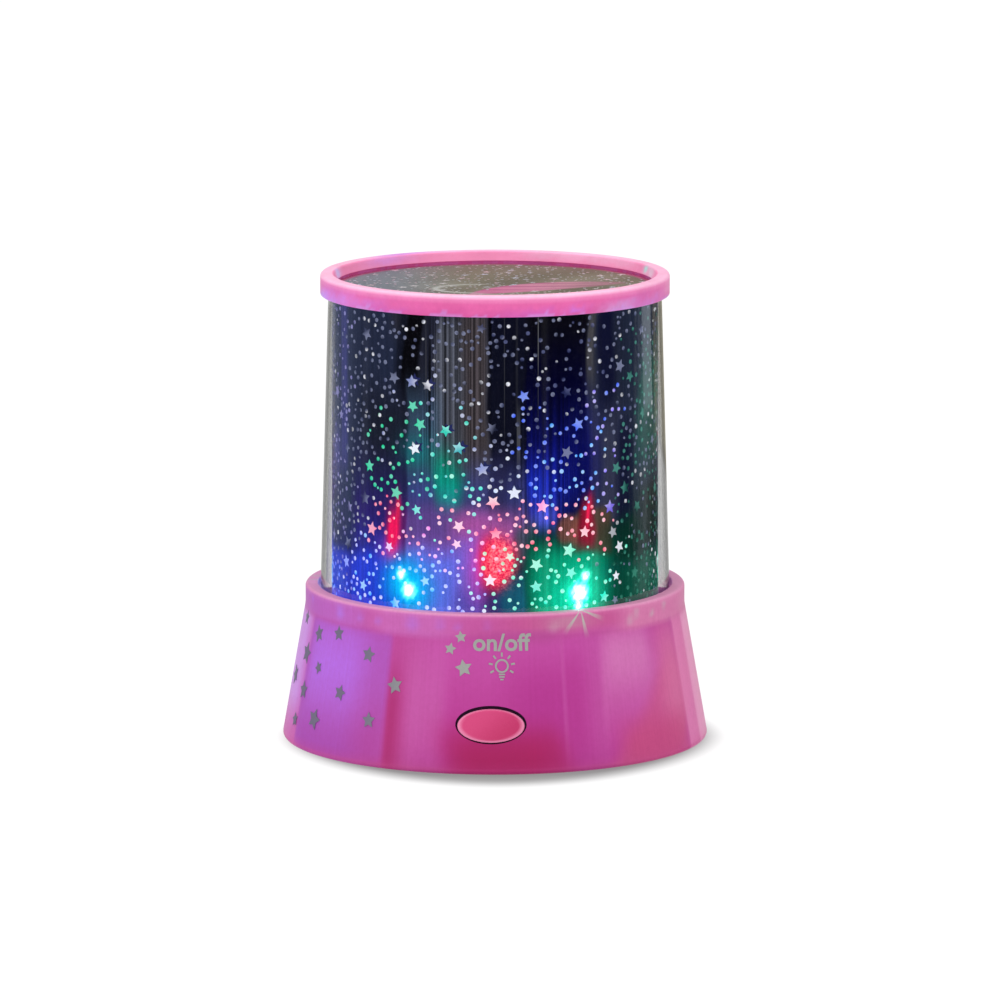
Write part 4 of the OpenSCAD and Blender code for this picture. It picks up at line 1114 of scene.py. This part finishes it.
class NIGHTLIGHT_OT_stage(bpy.types.Operator):
    """Lays the floor and sets the studio light and the camera"""

    bl_idname = "nightlight.stage"
    bl_label = "Stage"

    # Cards behind the lamp that only gloss sees: left, right and softness in radians, the low and high end as
    # the direction's Z, and the colour. A card has no side at 9 or -9, and no low end at -2.
    CARDS = ((-2.9, -1.9, 0.12, -2, 0.04, (82, 90, 108)), (-9, -2.5, 0.06, -2, 0.04, (146, 152, 164)),
             (-9, -2.64, 0.05, -2, 0.04, (206, 207, 205)), (-2.62, -2.38, 0.03, -2, -0.1665, (90, 92, 156)),
             (2.14, 2.38, 0.02, -0.152, 0.04, (212, 224, 234)), (2.5, 2.58, 0.03, -2, 0.04, (100, 106, 118)),
             (2.58, 9, 0.03, -2, -0.163, (205, 205, 204)), (2.45, 2.53, 0.02, -0.158, 0.04, (118, 106, 74)),
             (2.53, 2.67, 0.01, -0.158, 0.04, (68, 60, 42)), (2.67, 9, 0.02, -0.163, 0.04, (180, 176, 160)))

    # Upright lights that only gloss sees: middle and half width in radians, and power
    UPRIGHTS = ((-1.72, 0.05, 0.06), (0.62, 0.03, 0.1), (1.26, 0.05, 0.12))

    def execute(self, context):
        scene = context.scene
        scene.view_settings.view_transform = "Standard"
        self.floor()
        self.world(scene)
        self.lamp("key", (-0.9, -1.3, 1.9), 1.6, 5)
        self.lamp("top", (-0.2, 0.5, 2.1), 1.8, 12)
        self.camera(scene)
        self.flare(scene)
        return {"FINISHED"}

    def floor(self):
        """A white floor with a soft shade round the foot."""
        middle, wide, deep = 1.6 * MM, 66.2 * MM, 77.2 * MM
        bm = bmesh.new()
        bmesh.ops.create_circle(bm, cap_ends=True, segments=96, radius=6.0)
        floor = add_object("floor", as_mesh("floor", bm))
        f = Finish("floor")
        x, y, _ = f.axes()
        beside, ahead = (f.math("ABSOLUTE", along) ** 1.85 for along in ((x - middle) / wide, y / deep))
        shade = 1 - f.map_range(beside + ahead, 0.65, 0.963)
        floor.data.materials.append(f.surface(
            Base_Color=(0.1, 0.1, 0.1), Roughness=1.0, Specular_IOR_Level=0.0,
            Emission_Color=f.mix(shade, (1, 1, 1), (0.3, 0.3, 0.3)), Emission_Strength=0.95))
        floor.visible_glossy = False
        floor.visible_transmission = False

    def world(self, scene):
        """White surroundings. Gloss sees a dark room with a pale backdrop and upright lights."""
        scene.world = bpy.data.worlds.new("studio")
        f = Finish("studio", scene.world)
        x, y, z = f.split(f.node("ShaderNodeTexCoord", out="Generated"))
        turn = f.math("ARCTAN2", x, y * -1)
        room = 0.005 + 0.7 * f.map_range(z, 0.12, 0.9)
        for middle, half, power in self.UPRIGHTS:
            room = room + power * turn.band(middle - half, middle + half, 0.04) * z.band(-0.45, 0.75, 0.1)
        seen = f.scaled((1, 1, 1), room)
        for left, right, soft, low, high, tint in self.CARDS:
            seen = f.mix(turn.band(left, right, soft) * z.band(low, high, 0.004), seen, linear(tint))
        glossy = f.math("MINIMUM", f.node("ShaderNodeLightPath", out="Glossy Depth"), 1)
        diffuse = f.math("MINIMUM", f.node("ShaderNodeLightPath", out="Diffuse Depth"), 1)
        plain = f.scaled((1, 1, 1), 1 - 0.25 * diffuse)
        light = f.mix(glossy, plain, seen)
        background = f.node("ShaderNodeBackground", sockets={"Color": light, "Strength": 1.0})
        f.node("ShaderNodeOutputWorld", sockets={"Surface": background})

    def lamp(self, name, place, size, power):
        """A round studio light, in metres and watts, that faces the night light's middle."""
        light = bpy.data.lights.new(name, "AREA")
        light.shape = "DISK"
        light.size = size
        light.energy = power
        lamp = add_object(name, light)
        lamp.location = place
        aim = Vector((0, 0, 70 * MM)) - lamp.location
        lamp.rotation_euler = aim.to_track_quat("-Z", "Y").to_euler()

    def flare(self, scene):
        """A slight bloom round the brightest lights."""
        scene.use_nodes = True
        tree = scene.node_tree
        tree.nodes.clear()
        glare = tree.nodes.new("CompositorNodeGlare")
        glare.glare_type = "BLOOM"
        glare.quality = "HIGH"
        for name, value in {"Threshold": 1.5, "Strength": 0.08, "Size": 0.3}.items():
            glare.inputs[name].default_value = value
        tree.links.new(tree.nodes.new("CompositorNodeRLayers").outputs["Image"], glare.inputs["Image"])
        tree.links.new(glare.outputs["Image"], tree.nodes.new("CompositorNodeComposite").inputs["Image"])

    def camera(self, scene):
        """A long lens, level with the lamp's left and right and a little above it."""
        distance, height, beside = 2.1018, 0.4187, 0.0014
        pitch, turn = math.radians(9.49), math.radians(1.1)
        data = bpy.data.cameras.new("camera")
        data.lens = 273.1
        data.sensor_width = 36
        camera = add_object("camera", data)
        camera.location = (distance * math.sin(turn) + beside * math.cos(turn),
                           -distance * math.cos(turn) + beside * math.sin(turn), height)
        camera.rotation_euler = (math.radians(90) - pitch, 0, turn)
        scene.camera = camera


class NIGHTLIGHT_OT_housing(bpy.types.Operator):
    """Models the flared housing with its rim, seat, ledge, bosses and button hole"""

    bl_idname = "nightlight.housing"
    bl_label = "Housing"

    LONG_BOSS = Boss(48.3 * MM, 3.4 * MM, 1.3 * MM)
    SHORT_BOSS = Boss(47.4 * MM, 2.9 * MM, 1.05 * MM)

    def execute(self, context):
        s = context.scene.night_light_shell
        low, high = HOUSING_LOW.z, HOUSING_HIGH.z
        foot_inside = 57.56 * MM
        cover_top = 3.4 * MM
        hole_depth = 30 * MM
        inside = s.rim_radius - s.wall
        bm = lathe([
            Corner(foot_inside, low), Corner(s.foot_radius, low, s.foot_rounding, rows=18),
            Corner(s.rim_radius, s.flare_top, 0.8 * MM, rows=2), Corner(s.rim_radius, high, s.rim_rounding),
            Corner(s.seat_radius, high, 0.45 * MM), Corner(s.seat_radius, s.seat_height),
            Corner(s.ledge_radius, s.seat_height), Corner(s.ledge_radius, s.ledge_height),
            Corner(inside, s.ledge_height), Corner(inside, s.flare_top), Corner(foot_inside, cover_top)])
        finish = pink_shell_finish("pink shell", glow=0.12, streaky=0.16, cloudy=0.12)
        piece = made("housing", bm, "base", [finish], ("base_housing",))
        hole = oval(s.button_width + 2 * s.button_gap, s.button_height + 2 * s.button_gap, hole_depth)
        hole.transform(on_wall(0, s.foot_radius, s.button_level))
        # the walls of the button hole get painted shade
        cut_away(piece, hole, gap_shade_finish())
        piece.data.set_sharp_from_angle(angle=math.radians(CREASE))
        paint(piece, "tint", housing_tint)
        paint(self.bosses(s, finish), "tint", housing_tint)
        return {"FINISHED"}

    def bosses(self, s, finish):
        """The screw bosses inside the housing. A rib ties each long one to the wall."""
        bm = bmesh.new()
        foot, top = 5.4 * MM, s.ledge_height
        for turn in (45, 135, 225, 315):
            spot = self.tube(bm, self.LONG_BOSS, turn, foot, top)
            self.rib(bm, spot, s, foot + 4 * MM, top)
        for turn in (0, 90, 180, 270):
            self.tube(bm, self.SHORT_BOSS, turn, top - 2 * MM, top)
        return made("housing_bosses", bm, "base", [finish])

    def rib(self, bm, spot, s, low, high):
        """Adds an upright rib from a boss to the leaning wall."""
        middle = (high + low) / 2
        long, wide, out = 2.2 * MM, 1.6 * MM, 3.3 * MM
        place = spot @ Matrix.Translation((out, 0, middle)) @ sized(long, wide, high - low)
        rib = bmesh.ops.create_cube(bm, size=1, matrix=place)["verts"]
        outside = sorted(rib, key=lambda vert: vert.co.x ** 2 + vert.co.y ** 2)[4:]
        reach = (s.foot_radius - s.rim_radius) * (s.flare_top - low) / s.flare_top
        bmesh.ops.translate(bm, vec=spot.to_3x3() @ Vector((reach, 0, 0)),
                            verts=[vert for vert in outside if vert.co.z < middle])

    def tube(self, bm, boss, turn, low, high):
        """Adds a round boss whose bore opens below, and gives its place."""
        spot = spun(math.radians(turn)) @ Matrix.Translation((boss.out, 0, 0))
        fresh = set(bmesh.ops.create_cone(
            bm, cap_ends=True, segments=32, radius1=boss.radius, radius2=boss.radius, depth=high - low,
            matrix=spot @ Matrix.Translation((0, 0, (low + high) / 2)))["verts"])
        foot = next(f for f in bm.faces if len(f.verts) > 4 and set(f.verts) <= fresh and f.normal.z < 0)
        bmesh.ops.inset_region(bm, faces=[foot], thickness=boss.radius - boss.bore)
        extrude(bm, [foot], (0, 0, 0.8 * (high - low)))
        bmesh.ops.delete(bm, geom=[foot], context="FACES_ONLY")
        return spot


class NIGHTLIGHT_OT_button(bpy.types.Operator):
    """Models the oval push button, with painted shade on its sides in the gap round it"""

    bl_idname = "nightlight.button"
    bl_label = "Button"

    def execute(self, context):
        s = context.scene.night_light_shell
        bm = self.cap(s)
        for part in (self.flange(s), self.stem(s)):
            bm.from_mesh(as_mesh("part", part))
        piece = made("button", bm, "button", [button_finish()], ("button_cap",), 40)
        middle = np.array(context.scene.night_light_colours.button)
        wall_radius = s.flare_radius(s.button_level)

        def tint(angle, height, radius):
            across = np.radians(angle) * wall_radius / (s.button_width / 2)
            up = (height * MM - s.button_level) / (s.button_height / 2)
            sunk = s.flare_radius(height * MM) / MM - radius
            # painted light: paler to the upper left, a painted highlight round the edge, painted shade on the
            # sunken sides
            face = between(middle, linear((218, 70, 128)), 0.75 * ramp(0.1 - across + 0.6 * up, 0.9))
            face = between(face, linear((240, 146, 186)), 0.85 * ramp(np.hypot(across, up) - 0.91, 0.06))
            return between(face, linear((44, 8, 52)), ramp(sunk - 0.75, 0.3))

        paint(piece, "tint", tint)
        return {"FINISHED"}

    def against_flare(self, s, out, height):
        """Lays a shape's XY plane against the leaning wall, moved out from it."""
        tilt = Matrix.Rotation(-math.atan(s.lean()), 4, "X")
        return on_wall(0, s.flare_radius(s.button_level) + out, height) @ tilt

    def cap(self, s):
        """The oval cap, whose face follows the round housing and is a little dished."""
        depth, rounding, dish = 3.9 * MM, 0.7 * MM, 0.18 * MM
        bm = oval(s.button_width, s.button_height, depth, rounding)
        face = max(bm.faces, key=lambda f: (f.calc_center_median().z, f.calc_area()))
        for share in (0.9, 0.8, 0.75, 0.6, 0.4):
            bmesh.ops.inset_region(bm, faces=[face], thickness=0.01 * MM)
            bmesh.ops.scale(bm, vec=(share, share, 1), verts=face.verts)
        for below in (0.9 * MM, 1.6 * MM):
            bmesh.ops.bisect_plane(bm, geom=bm.verts[:] + bm.edges[:] + bm.faces[:],
                                   plane_co=(0, 0, depth / 2 - below), plane_no=(0, 0, 1))
        for vert in bm.verts:
            if vert.co.z > 0:
                across, up = 2 * vert.co.x / s.button_width, 2 * vert.co.y / s.button_height
                inner = max(0.0, 1 - across ** 2 - up ** 2)
                vert.co.z -= vert.co.x ** 2 / (2 * s.flare_radius(s.button_level)) + dish * inner
        bm.transform(self.against_flare(s, 0, s.button_level - 0.2 * MM)
                     @ Matrix.Translation((0, 0, s.button_proud - depth / 2)))
        return bm

    def flange(self, s):
        """The oval flange that keeps the button in."""
        spread, depth, inwards = 4.3 * MM, 1.3 * MM, 3.85 * MM
        bm = oval(s.button_width + spread, s.button_height + spread, depth)
        bm.transform(self.against_flare(s, -inwards, s.button_level))
        return bm

    def stem(self, s):
        """The round stem that pushes the switch."""
        radius, depth, out = 2.4 * MM, 8.6 * MM, 52.7 * MM
        bm = bmesh.new()
        bmesh.ops.create_cone(bm, cap_ends=True, segments=32, radius1=radius, radius2=radius, depth=depth)
        bm.transform(on_wall(0, out, s.button_level))
        return bm


class NIGHTLIGHT_OT_ring(bpy.types.Operator):
    """Models the pink ring round the shade's top"""

    bl_idname = "nightlight.ring"
    bl_label = "Top ring"

    def execute(self, context):
        s = context.scene.night_light_shell
        cup = context.scene.night_light_shade.cup_top_radius
        low, high, outside = RING_LOW.z, RING_HIGH.z, RING_HIGH.x
        lip = cup - 1.35 * MM
        slope = 0.8 * MM
        bm = lathe([
            Corner(cup + 0.15 * MM, low, rows=2), Corner(outside, low, 0.4 * MM, rows=4),
            Corner(outside, high, s.rim_rounding, rows=2), Corner(lip, high, 0.5 * MM, rows=2),
            Corner(lip - slope, CUP_HIGH.z), Corner(cup + 0.05 * MM, CUP_HIGH.z)])
        finish = pink_shell_finish("pink ring", glow=0.28, streaky=0.03, cloudy=0.5)
        piece = made("ring", bm, "shade", [finish], ("top_ring",))
        paint(piece, "tint", ring_tint)
        return {"FINISHED"}


class NIGHTLIGHT_OT_cup(bpy.types.Operator):
    """Models the clear cup"""

    bl_idname = "nightlight.cup"
    bl_label = "Clear cup"

    def execute(self, context):
        s = context.scene.night_light_shade
        low, high, foot = CUP_LOW.z, CUP_HIGH.z, CUP_HIGH.x
        plate = RING_LOW.z  # the cup hardly bends light above this, so that the top film shows undistorted
        draft = (foot - s.cup_top_radius) / (high - low)
        edge = 0.3 * MM
        bm = lathe([
            Corner(foot, low, edge), Corner(s.cup_top_radius + draft * (high - plate), plate),
            Corner(s.cup_top_radius, high, s.cup_rounding), Corner(0, high),
            Corner(0, high - s.cup_wall), Corner(s.cup_top_radius - s.cup_wall, high - s.cup_wall, edge),
            Corner(foot - s.cup_wall, low, edge)])
        for face in bm.faces:
            face.material_index = int(min(vert.co.z for vert in face.verts) > plate - 0.01 * MM)
        finishes = [clear_finish("clear wall", 1.48), clear_finish("clear top", 1.003)]
        made("cup", bm, "shade", finishes, ("clear_cup",))
        return {"FINISHED"}


class NIGHTLIGHT_OT_film(bpy.types.Operator):
    """Models the rolled star film with its windows"""

    bl_idname = "nightlight.film"
    bl_label = "Star film"

    # In mm: the least, greatest and usual radius of a star, the band where a third of the stars are, and the
    # radii of the loose dots
    STAR_SIZE = (1.3, 2.25, 1.95)
    LOW_BAND = (50, 76)
    DOT_SIZES = (0.4, 0.55, 0.6, 0.63, 0.66)

    def execute(self, context):
        s = context.scene.night_light_shade
        radius, low, high = FILM_HIGH.x, FILM_LOW.z, FILM_HIGH.z
        inside = radius - s.film_thickness
        bm = lathe([
            Corner(radius, low, rows=95), Corner(radius, high), Corner(inside, high), Corner(inside, low)],
            2 * FULL_TURN)
        for face in bm.faces:
            inwards = face.normal.dot(face.calc_center_median()) < 0
            face.material_index = int(inwards and abs(face.normal.z) < 0.5)
        finishes = [film_finish(), mirror_film_finish()]
        piece = made("film", bm, "shade", finishes, ("star_film_wall",))
        paint(piece, "glow", film_glow)
        paint(piece, "sparkle", film_sparkle)
        paint(piece, "creases", film_crease_sheen)
        self.windows(s, radius, low, high)
        return {"FINISHED"}

    def windows(self, s, radius, low, high):
        """Scatters stars, curved rows of dots and loose dots over the film."""
        dice = random.Random(SEED)
        around = math.tau * radius / MM
        foot, head = low / MM + 1.2, high / MM - 3.2  # in mm, clear of the film's edges
        scatter = Scatter()

        def somewhere():
            return dice.uniform(0, around), dice.uniform(foot, head)

        def low_down():
            return dice.uniform(0, around), dice.uniform(*self.LOW_BAND)

        def star_size():
            return dice.triangular(*self.STAR_SIZE)

        stars = scatter.fill(s.stars // 3, low_down, star_size)
        stars += scatter.fill(s.stars * 2 // 3, somewhere, star_size)
        dots = []
        for _ in range(s.garlands):
            start, level = somewhere()
            swing, slope, phase = dice.uniform(3, 9), dice.uniform(-0.6, 0.6), dice.uniform(0, math.tau)
            pace = dice.uniform(2.1, 3.2)
            for step in range(dice.randrange(7, 15)):
                along = step * pace
                height = level + swing * math.sin(phase + along * 0.16) + slope * along
                spot, reach = ((start + along) % around, height), dice.uniform(0.54, 0.66)
                if foot < height < head and scatter.take(spot, reach):
                    dots.append((spot, reach))
        dots += scatter.fill(s.dots, somewhere, lambda: dice.choice(self.DOT_SIZES))
        windows = Windows()
        for shape, places in (("star", stars), ("dot", dots)):
            angles = [wrapped(180 + math.degrees(along * MM / radius)) for (along, _), _ in places]
            glows = film_glow(np.array(angles), np.array([level for (_, level), _ in places]))
            for ((_, level), size), angle, glow in zip(places, angles, glows):
                spin = spun(dice.uniform(0, math.tau))
                own, gleam = window_light(angle, level, dice)
                windows.add(shape, on_wall(angle, radius, level * MM) @ spin, size * MM, s.window_proud,
                            (own + glow * 0.5, gleam + glow * 0.5), dice.uniform(0, math.tau),
                            dice.uniform(-1.1, 0.4))
                if shape == "star" and gleam.sum() > 1.6 and level > 75:
                    # a painted reflection: the cup shows a fainter twin beside a bright star
                    twin = on_wall(angle + 1.2, radius, (level + 0.5) * MM) @ spin
                    windows.add(shape, twin, size * MM, s.window_proud / 2, [linear((36, 42, 92))] * 2, 0, 0)
        made("film_windows", windows.finished(), "shade", [window_finish()])


class NIGHTLIGHT_OT_disc(bpy.types.Operator):
    """Models the metallised film disc under the top"""

    bl_idname = "nightlight.disc"
    bl_label = "Top film"

    # The outer edge of the ring's gleam on the film, in mm. Then how many stars there are, with the least,
    # greatest and usual radius, and how many dots, with their radii.
    GLEAM_MIDDLE, GLEAM_RADIUS = (26, -25), 33.8
    STARS, STAR_SIZE = 56, (0.9, 1.9, 1.4)
    DOTS, DOT_SIZES = 640, (0.28, 0.35, 0.42, 0.5)

    def execute(self, context):
        radius, low, high = DISC_HIGH.x, DISC_LOW.z, DISC_HIGH.z - 0.1 * MM
        bm = lathe([Corner(0, low), Corner(radius, low), Corner(radius, high, rows=90), Corner(0, high)])
        piece = made("film_disc", bm, "shade", [disc_finish()], ("star_film_disc",))
        paint(piece, "tint", self.tint)
        self.windows(radius, high)
        return {"FINISHED"}

    def gleam_reach(self, x, y):
        """How far a place is inside the outer edge of the ring's gleam, and inside its lower edge."""
        return (self.GLEAM_RADIUS - np.hypot(x - self.GLEAM_MIDDLE[0], y - self.GLEAM_MIDDLE[1]),
                y + 15.5 - 0.35 * x - 0.0068 * x * x)

    def tint(self, angle, height, radius):
        """Grey-brown silvering, bluer to the left, with a painted pink reflection of the ring and a painted
        pale arc.
        """
        x, y = radius * np.sin(np.radians(angle)), -radius * np.cos(np.radians(angle))
        cloud = 0.5 + 0.5 * drift(x * 0.11, y * 0.13)
        tint = between((164, 158, 140), (128, 120, 104), cloud)
        tint = between(tint, (138, 124, 104), 0.6 * ramp(y - 14, 20))
        tint = between(tint, (140, 150, 168), 0.8 * ramp(-19 - x, 14))
        outer, lower = self.gleam_reach(x, y)
        streak = 0.5 + 0.5 * drift(x * 0.07, y * 0.9)
        gleam = between((214, 104, 156), (255, 176, 206), streak * ramp(x + 2, 18) * ramp(34 - x, 14))
        fading = (1 - 0.5 * ramp(x - 18, 20)) * ramp(42 - x, 4)
        tint = between(tint, gleam, ramp(outer, 0.7) * ramp(lower, 0.8) * fading)
        tint = between(tint, (214, 110, 160), 0.95 * ramp(radius - 43.4, 0.8))
        arc = ramp(0.8 - abs(np.hypot((x + 3) / 13.5, (y + 6) / 9) - 1) * 10, 0.5) * ramp(-2 - x, 3)
        return linear(between(tint, (226, 226, 222), 0.85 * arc))

    def windows(self, radius, high):
        """Scatters small stars and dots over the disc, apart from the gleam of the ring, which hides them."""
        dice = random.Random(SEED + 1)
        windows = Windows()
        scatter = Scatter()
        reach = radius / MM - 2

        def somewhere():
            turn, out = dice.uniform(0, math.tau), reach * math.sqrt(dice.random())
            return out * math.cos(turn), out * math.sin(turn)

        stars = scatter.fill(self.STARS, somewhere, lambda: dice.triangular(*self.STAR_SIZE))
        dots = scatter.fill(self.DOTS, somewhere, lambda: dice.choice(self.DOT_SIZES))
        for shape, places in (("star", stars), ("dot", dots)):
            for (x, y), size in places:
                outer, lower = self.gleam_reach(x, y)
                if outer > 1.3 and lower > 0:
                    continue
                placed = Matrix.Translation((x * MM, y * MM, high)) @ spun(dice.uniform(0, 6))
                bright = dice.random() ** 1.4
                warm = dice.choice(((214, 210, 212), (228, 190, 206), (196, 204, 222)))
                lights = [linear(between((146, 142, 142), warm, share)) for share in (bright, 1)]
                windows.add(shape, placed, size * MM, 0.02 * MM, lights, dice.uniform(0, math.tau), 0.35)
        made("disc_windows", windows.finished(), "shade", [relief_finish()])


class NIGHTLIGHT_OT_prints(bpy.types.Operator):
    """Prints the stars, the lettering and the bulb sign on the housing"""

    bl_idname = "nightlight.prints"
    bl_label = "Prints"

    # Angle and height of each star's middle, with its radius and turn
    STARS = ((-9.0, 38.0, 1.75, 8), (-12.0, 34.7, 1.75, -10), (-7.9, 29.6, 2.5, 12), (-52.3, 35.2, 2.3, 10),
             (-38.6, 31.1, 2.35, -6), (-28.4, 23.7, 2.5, 14), (-48.1, 19.4, 2.35, -12), (-36.0, 13.4, 2.3, 4),
             (-63.5, 33.5, 2.6, 20), (-70.5, 27.0, 3.2, -8), (-60.5, 24.5, 1.9, 30), (-68.0, 17.0, 2.7, 6),
             (-58.5, 10.5, 3.1, -16), (-76.5, 36.0, 2.2, 0), (-79.0, 19.5, 2.9, 25), (-71.0, 8.2, 2.1, 12))

    def execute(self, context):
        self.shell = context.scene.night_light_shell
        self.ink = print_finish(tuple(context.scene.night_light_colours.print_grey))
        self.stars()
        self.word("on/off", angle=2.95, height=36.4, width=16.0)
        self.bulb(angle=3.1, height=29.8)
        return {"FINISHED"}

    def wrap(self, verts, angle, height, place):
        """Lays flat points on the flare about an angle and a height in mm, half sunk in it."""
        s = self.shell
        proud, sunk = 0.05 * MM, 0.03 * MM
        middle = s.flare_radius(height * MM)
        for vert in verts:
            flat = place @ vert.co
            level = height * MM + flat.y
            radius = max(s.flare_radius(level), s.rim_radius) + (proud if vert.co.z > 0 else -sunk)
            turn = math.radians(angle) + flat.x / middle
            vert.co = (radius * math.sin(turn), -radius * math.cos(turn), level)

    def printed(self, name, bm):
        """Finishes a print on the housing."""
        made(name, bm, "base", [self.ink], crease=20)

    def stars(self):
        """Plain stars of several sizes, loosely scattered to the left."""
        bm = bmesh.new()
        star = window_shape(10, 0.5)
        for angle, height, radius, turn in self.STARS:
            place = spun(math.radians(turn)) @ sized(radius * MM, radius * MM)
            self.wrap(stamp(bm, star), angle, height, place)
        self.printed("printed_stars", bm)

    def word(self, text, angle, height, width):
        """Generic lettering, wrapped on the housing."""
        name = "printed_word"
        curve = bpy.data.curves.new(name, "FONT")
        curve.body = text
        curve.align_x = "CENTER"
        curve.align_y = "CENTER"
        curve.offset = 0.022
        curve.extrude = 0.5
        curve.resolution_u = 4
        source = add_object(name, curve)
        bm = bmesh.new()
        bm.from_mesh(evaluated(source))
        bpy.data.objects.remove(source)
        bmesh.ops.remove_doubles(bm, verts=bm.verts, dist=1e-5)
        wide = max(v.co.x for v in bm.verts) - min(v.co.x for v in bm.verts)
        scale = width * MM / wide
        self.wrap(bm.verts[:], angle, height, sized(scale, scale * 0.98))
        self.printed(name, bm)

    def bulb(self, angle, height):
        """A plain light bulb in outline with short rays, drawn in mm."""
        bm = bmesh.new()
        globe_middle, globe_radius, ray_out, ray_length, stroke = 0.5, 1.9, 3.1, 1.1, 0.5
        bmesh.ops.create_circle(bm, cap_ends=True, segments=36, radius=globe_radius,
                                matrix=Matrix.Translation((0, globe_middle, -1)))
        globe = bm.faces[:]
        bmesh.ops.inset_region(bm, faces=globe, use_boundary=True, thickness=stroke)
        bmesh.ops.delete(bm, geom=globe, context="FACES_ONLY")

        def bar(x, y, wide, tall, turn=0.0):
            place = Matrix.Translation((x, y, -1)) @ spun(turn) @ sized(wide, tall)
            bmesh.ops.create_grid(bm, x_segments=1, y_segments=1, size=0.5, matrix=place)

        for level, wide in ((-1.75, 1.7), (-2.45, 1.5), (-3.15, 0.9)):
            bar(0, level, wide, stroke * 0.85)
        for turn in range(-30, 211, 40):
            out = math.radians(turn)
            bar(ray_out * math.cos(out), globe_middle + ray_out * math.sin(out), ray_length, stroke, out)
        extrude(bm, bm.faces[:], (0, 0, 2))
        bmesh.ops.recalc_face_normals(bm, faces=bm.faces)
        self.wrap(bm.verts[:], angle, height, sized(MM, MM))
        self.printed("printed_bulb", bm)


class NIGHTLIGHT_OT_fittings(bpy.types.Operator):
    """Finishes the covers, screws, cells, boards, LEDs, switch and leads"""

    bl_idname = "nightlight.fittings"
    bl_label = "Fittings"

    def execute(self, context):
        c = context.scene.night_light_colours
        cover = moulded("cover plastic", tuple(c.cover), 0.5, 0.0001)
        steel = metal("screw steel", linear((176, 176, 180)))
        spring = metal("spring steel", linear((196, 194, 188)), 0.25, (1, 0.2, 0.2))
        board = board_finish(tuple(c.board))
        cell = cell_finish()
        finishes = {
            "bottom_cover": cover, "battery_door": cover, "door_screw": steel, "cover_screws": steel,
            "foot_pads": moulded("foot rubber", tuple(c.rubber), 0.8, 0.00015, 0.7),
            "battery_1": cell, "battery_2": cell, "battery_3": cell,
            "battery_springs": spring, "contact_plates": spring,
            "light_deck": deck_finish(), "deck_screws": steel, "board_screws": steel,
            "led_board": board, "switch_board": board,
            "resistors": resistor_finish(), "controller_chip": chip_finish(),
            "switch_plunger": moulded("plunger", linear((225, 225, 220)), 0.4),
            "switch_body": switch_finish(),
            "lead_red": moulded("red lead", linear((190, 26, 30)), 0.4),
            "lead_black": moulded("black lead", linear((24, 24, 26)), 0.4),
            "switch_leads": moulded("yellow lead", linear((222, 178, 40)), 0.4),
        }
        for _, name in LEDS:
            finishes["led_" + name] = led_finish("led " + name, TONES[name]["bright"])
        for name, finish in finishes.items():
            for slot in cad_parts[name].material_slots:
                slot.material = finish
        return {"FINISHED"}


class NIGHTLIGHT_PT_panel(bpy.types.Panel):
    """Lists the sizes and colours, and the steps that make the night light"""

    bl_idname = "NIGHTLIGHT_PT_panel"
    bl_label = "Night light"
    bl_space_type = "VIEW_3D"
    bl_region_type = "UI"
    bl_category = "Night light"

    def draw(self, context):
        for group, kind in GROUPS.items():
            box = self.layout.box()
            for name in kind.__annotations__:
                box.prop(getattr(context.scene, group), name)
        for step in STEPS:
            self.layout.operator(step.bl_idname)


STEPS = (NIGHTLIGHT_OT_stage, NIGHTLIGHT_OT_housing, NIGHTLIGHT_OT_button, NIGHTLIGHT_OT_ring,
         NIGHTLIGHT_OT_cup, NIGHTLIGHT_OT_film, NIGHTLIGHT_OT_disc, NIGHTLIGHT_OT_prints,
         NIGHTLIGHT_OT_fittings)
GROUPS = {"night_light_shell": NightLightShell, "night_light_shade": NightLightShade,
          "night_light_colours": NightLightColours}


def register():
    for kind in (*GROUPS.values(), *STEPS, NIGHTLIGHT_PT_panel):
        bpy.utils.register_class(kind)
    for name, group in GROUPS.items():
        setattr(bpy.types.Scene, name, PointerProperty(type=group))


def unregister():
    for name in GROUPS:
        delattr(bpy.types.Scene, name)
    for kind in (NIGHTLIGHT_PT_panel, *reversed(STEPS), *GROUPS.values()):
        bpy.utils.unregister_class(kind)


def main():
    register()
    for step in STEPS:
        family, name = step.bl_idname.split(".")
        getattr(getattr(bpy.ops, family), name)()


if __name__ == "__main__":
    main()
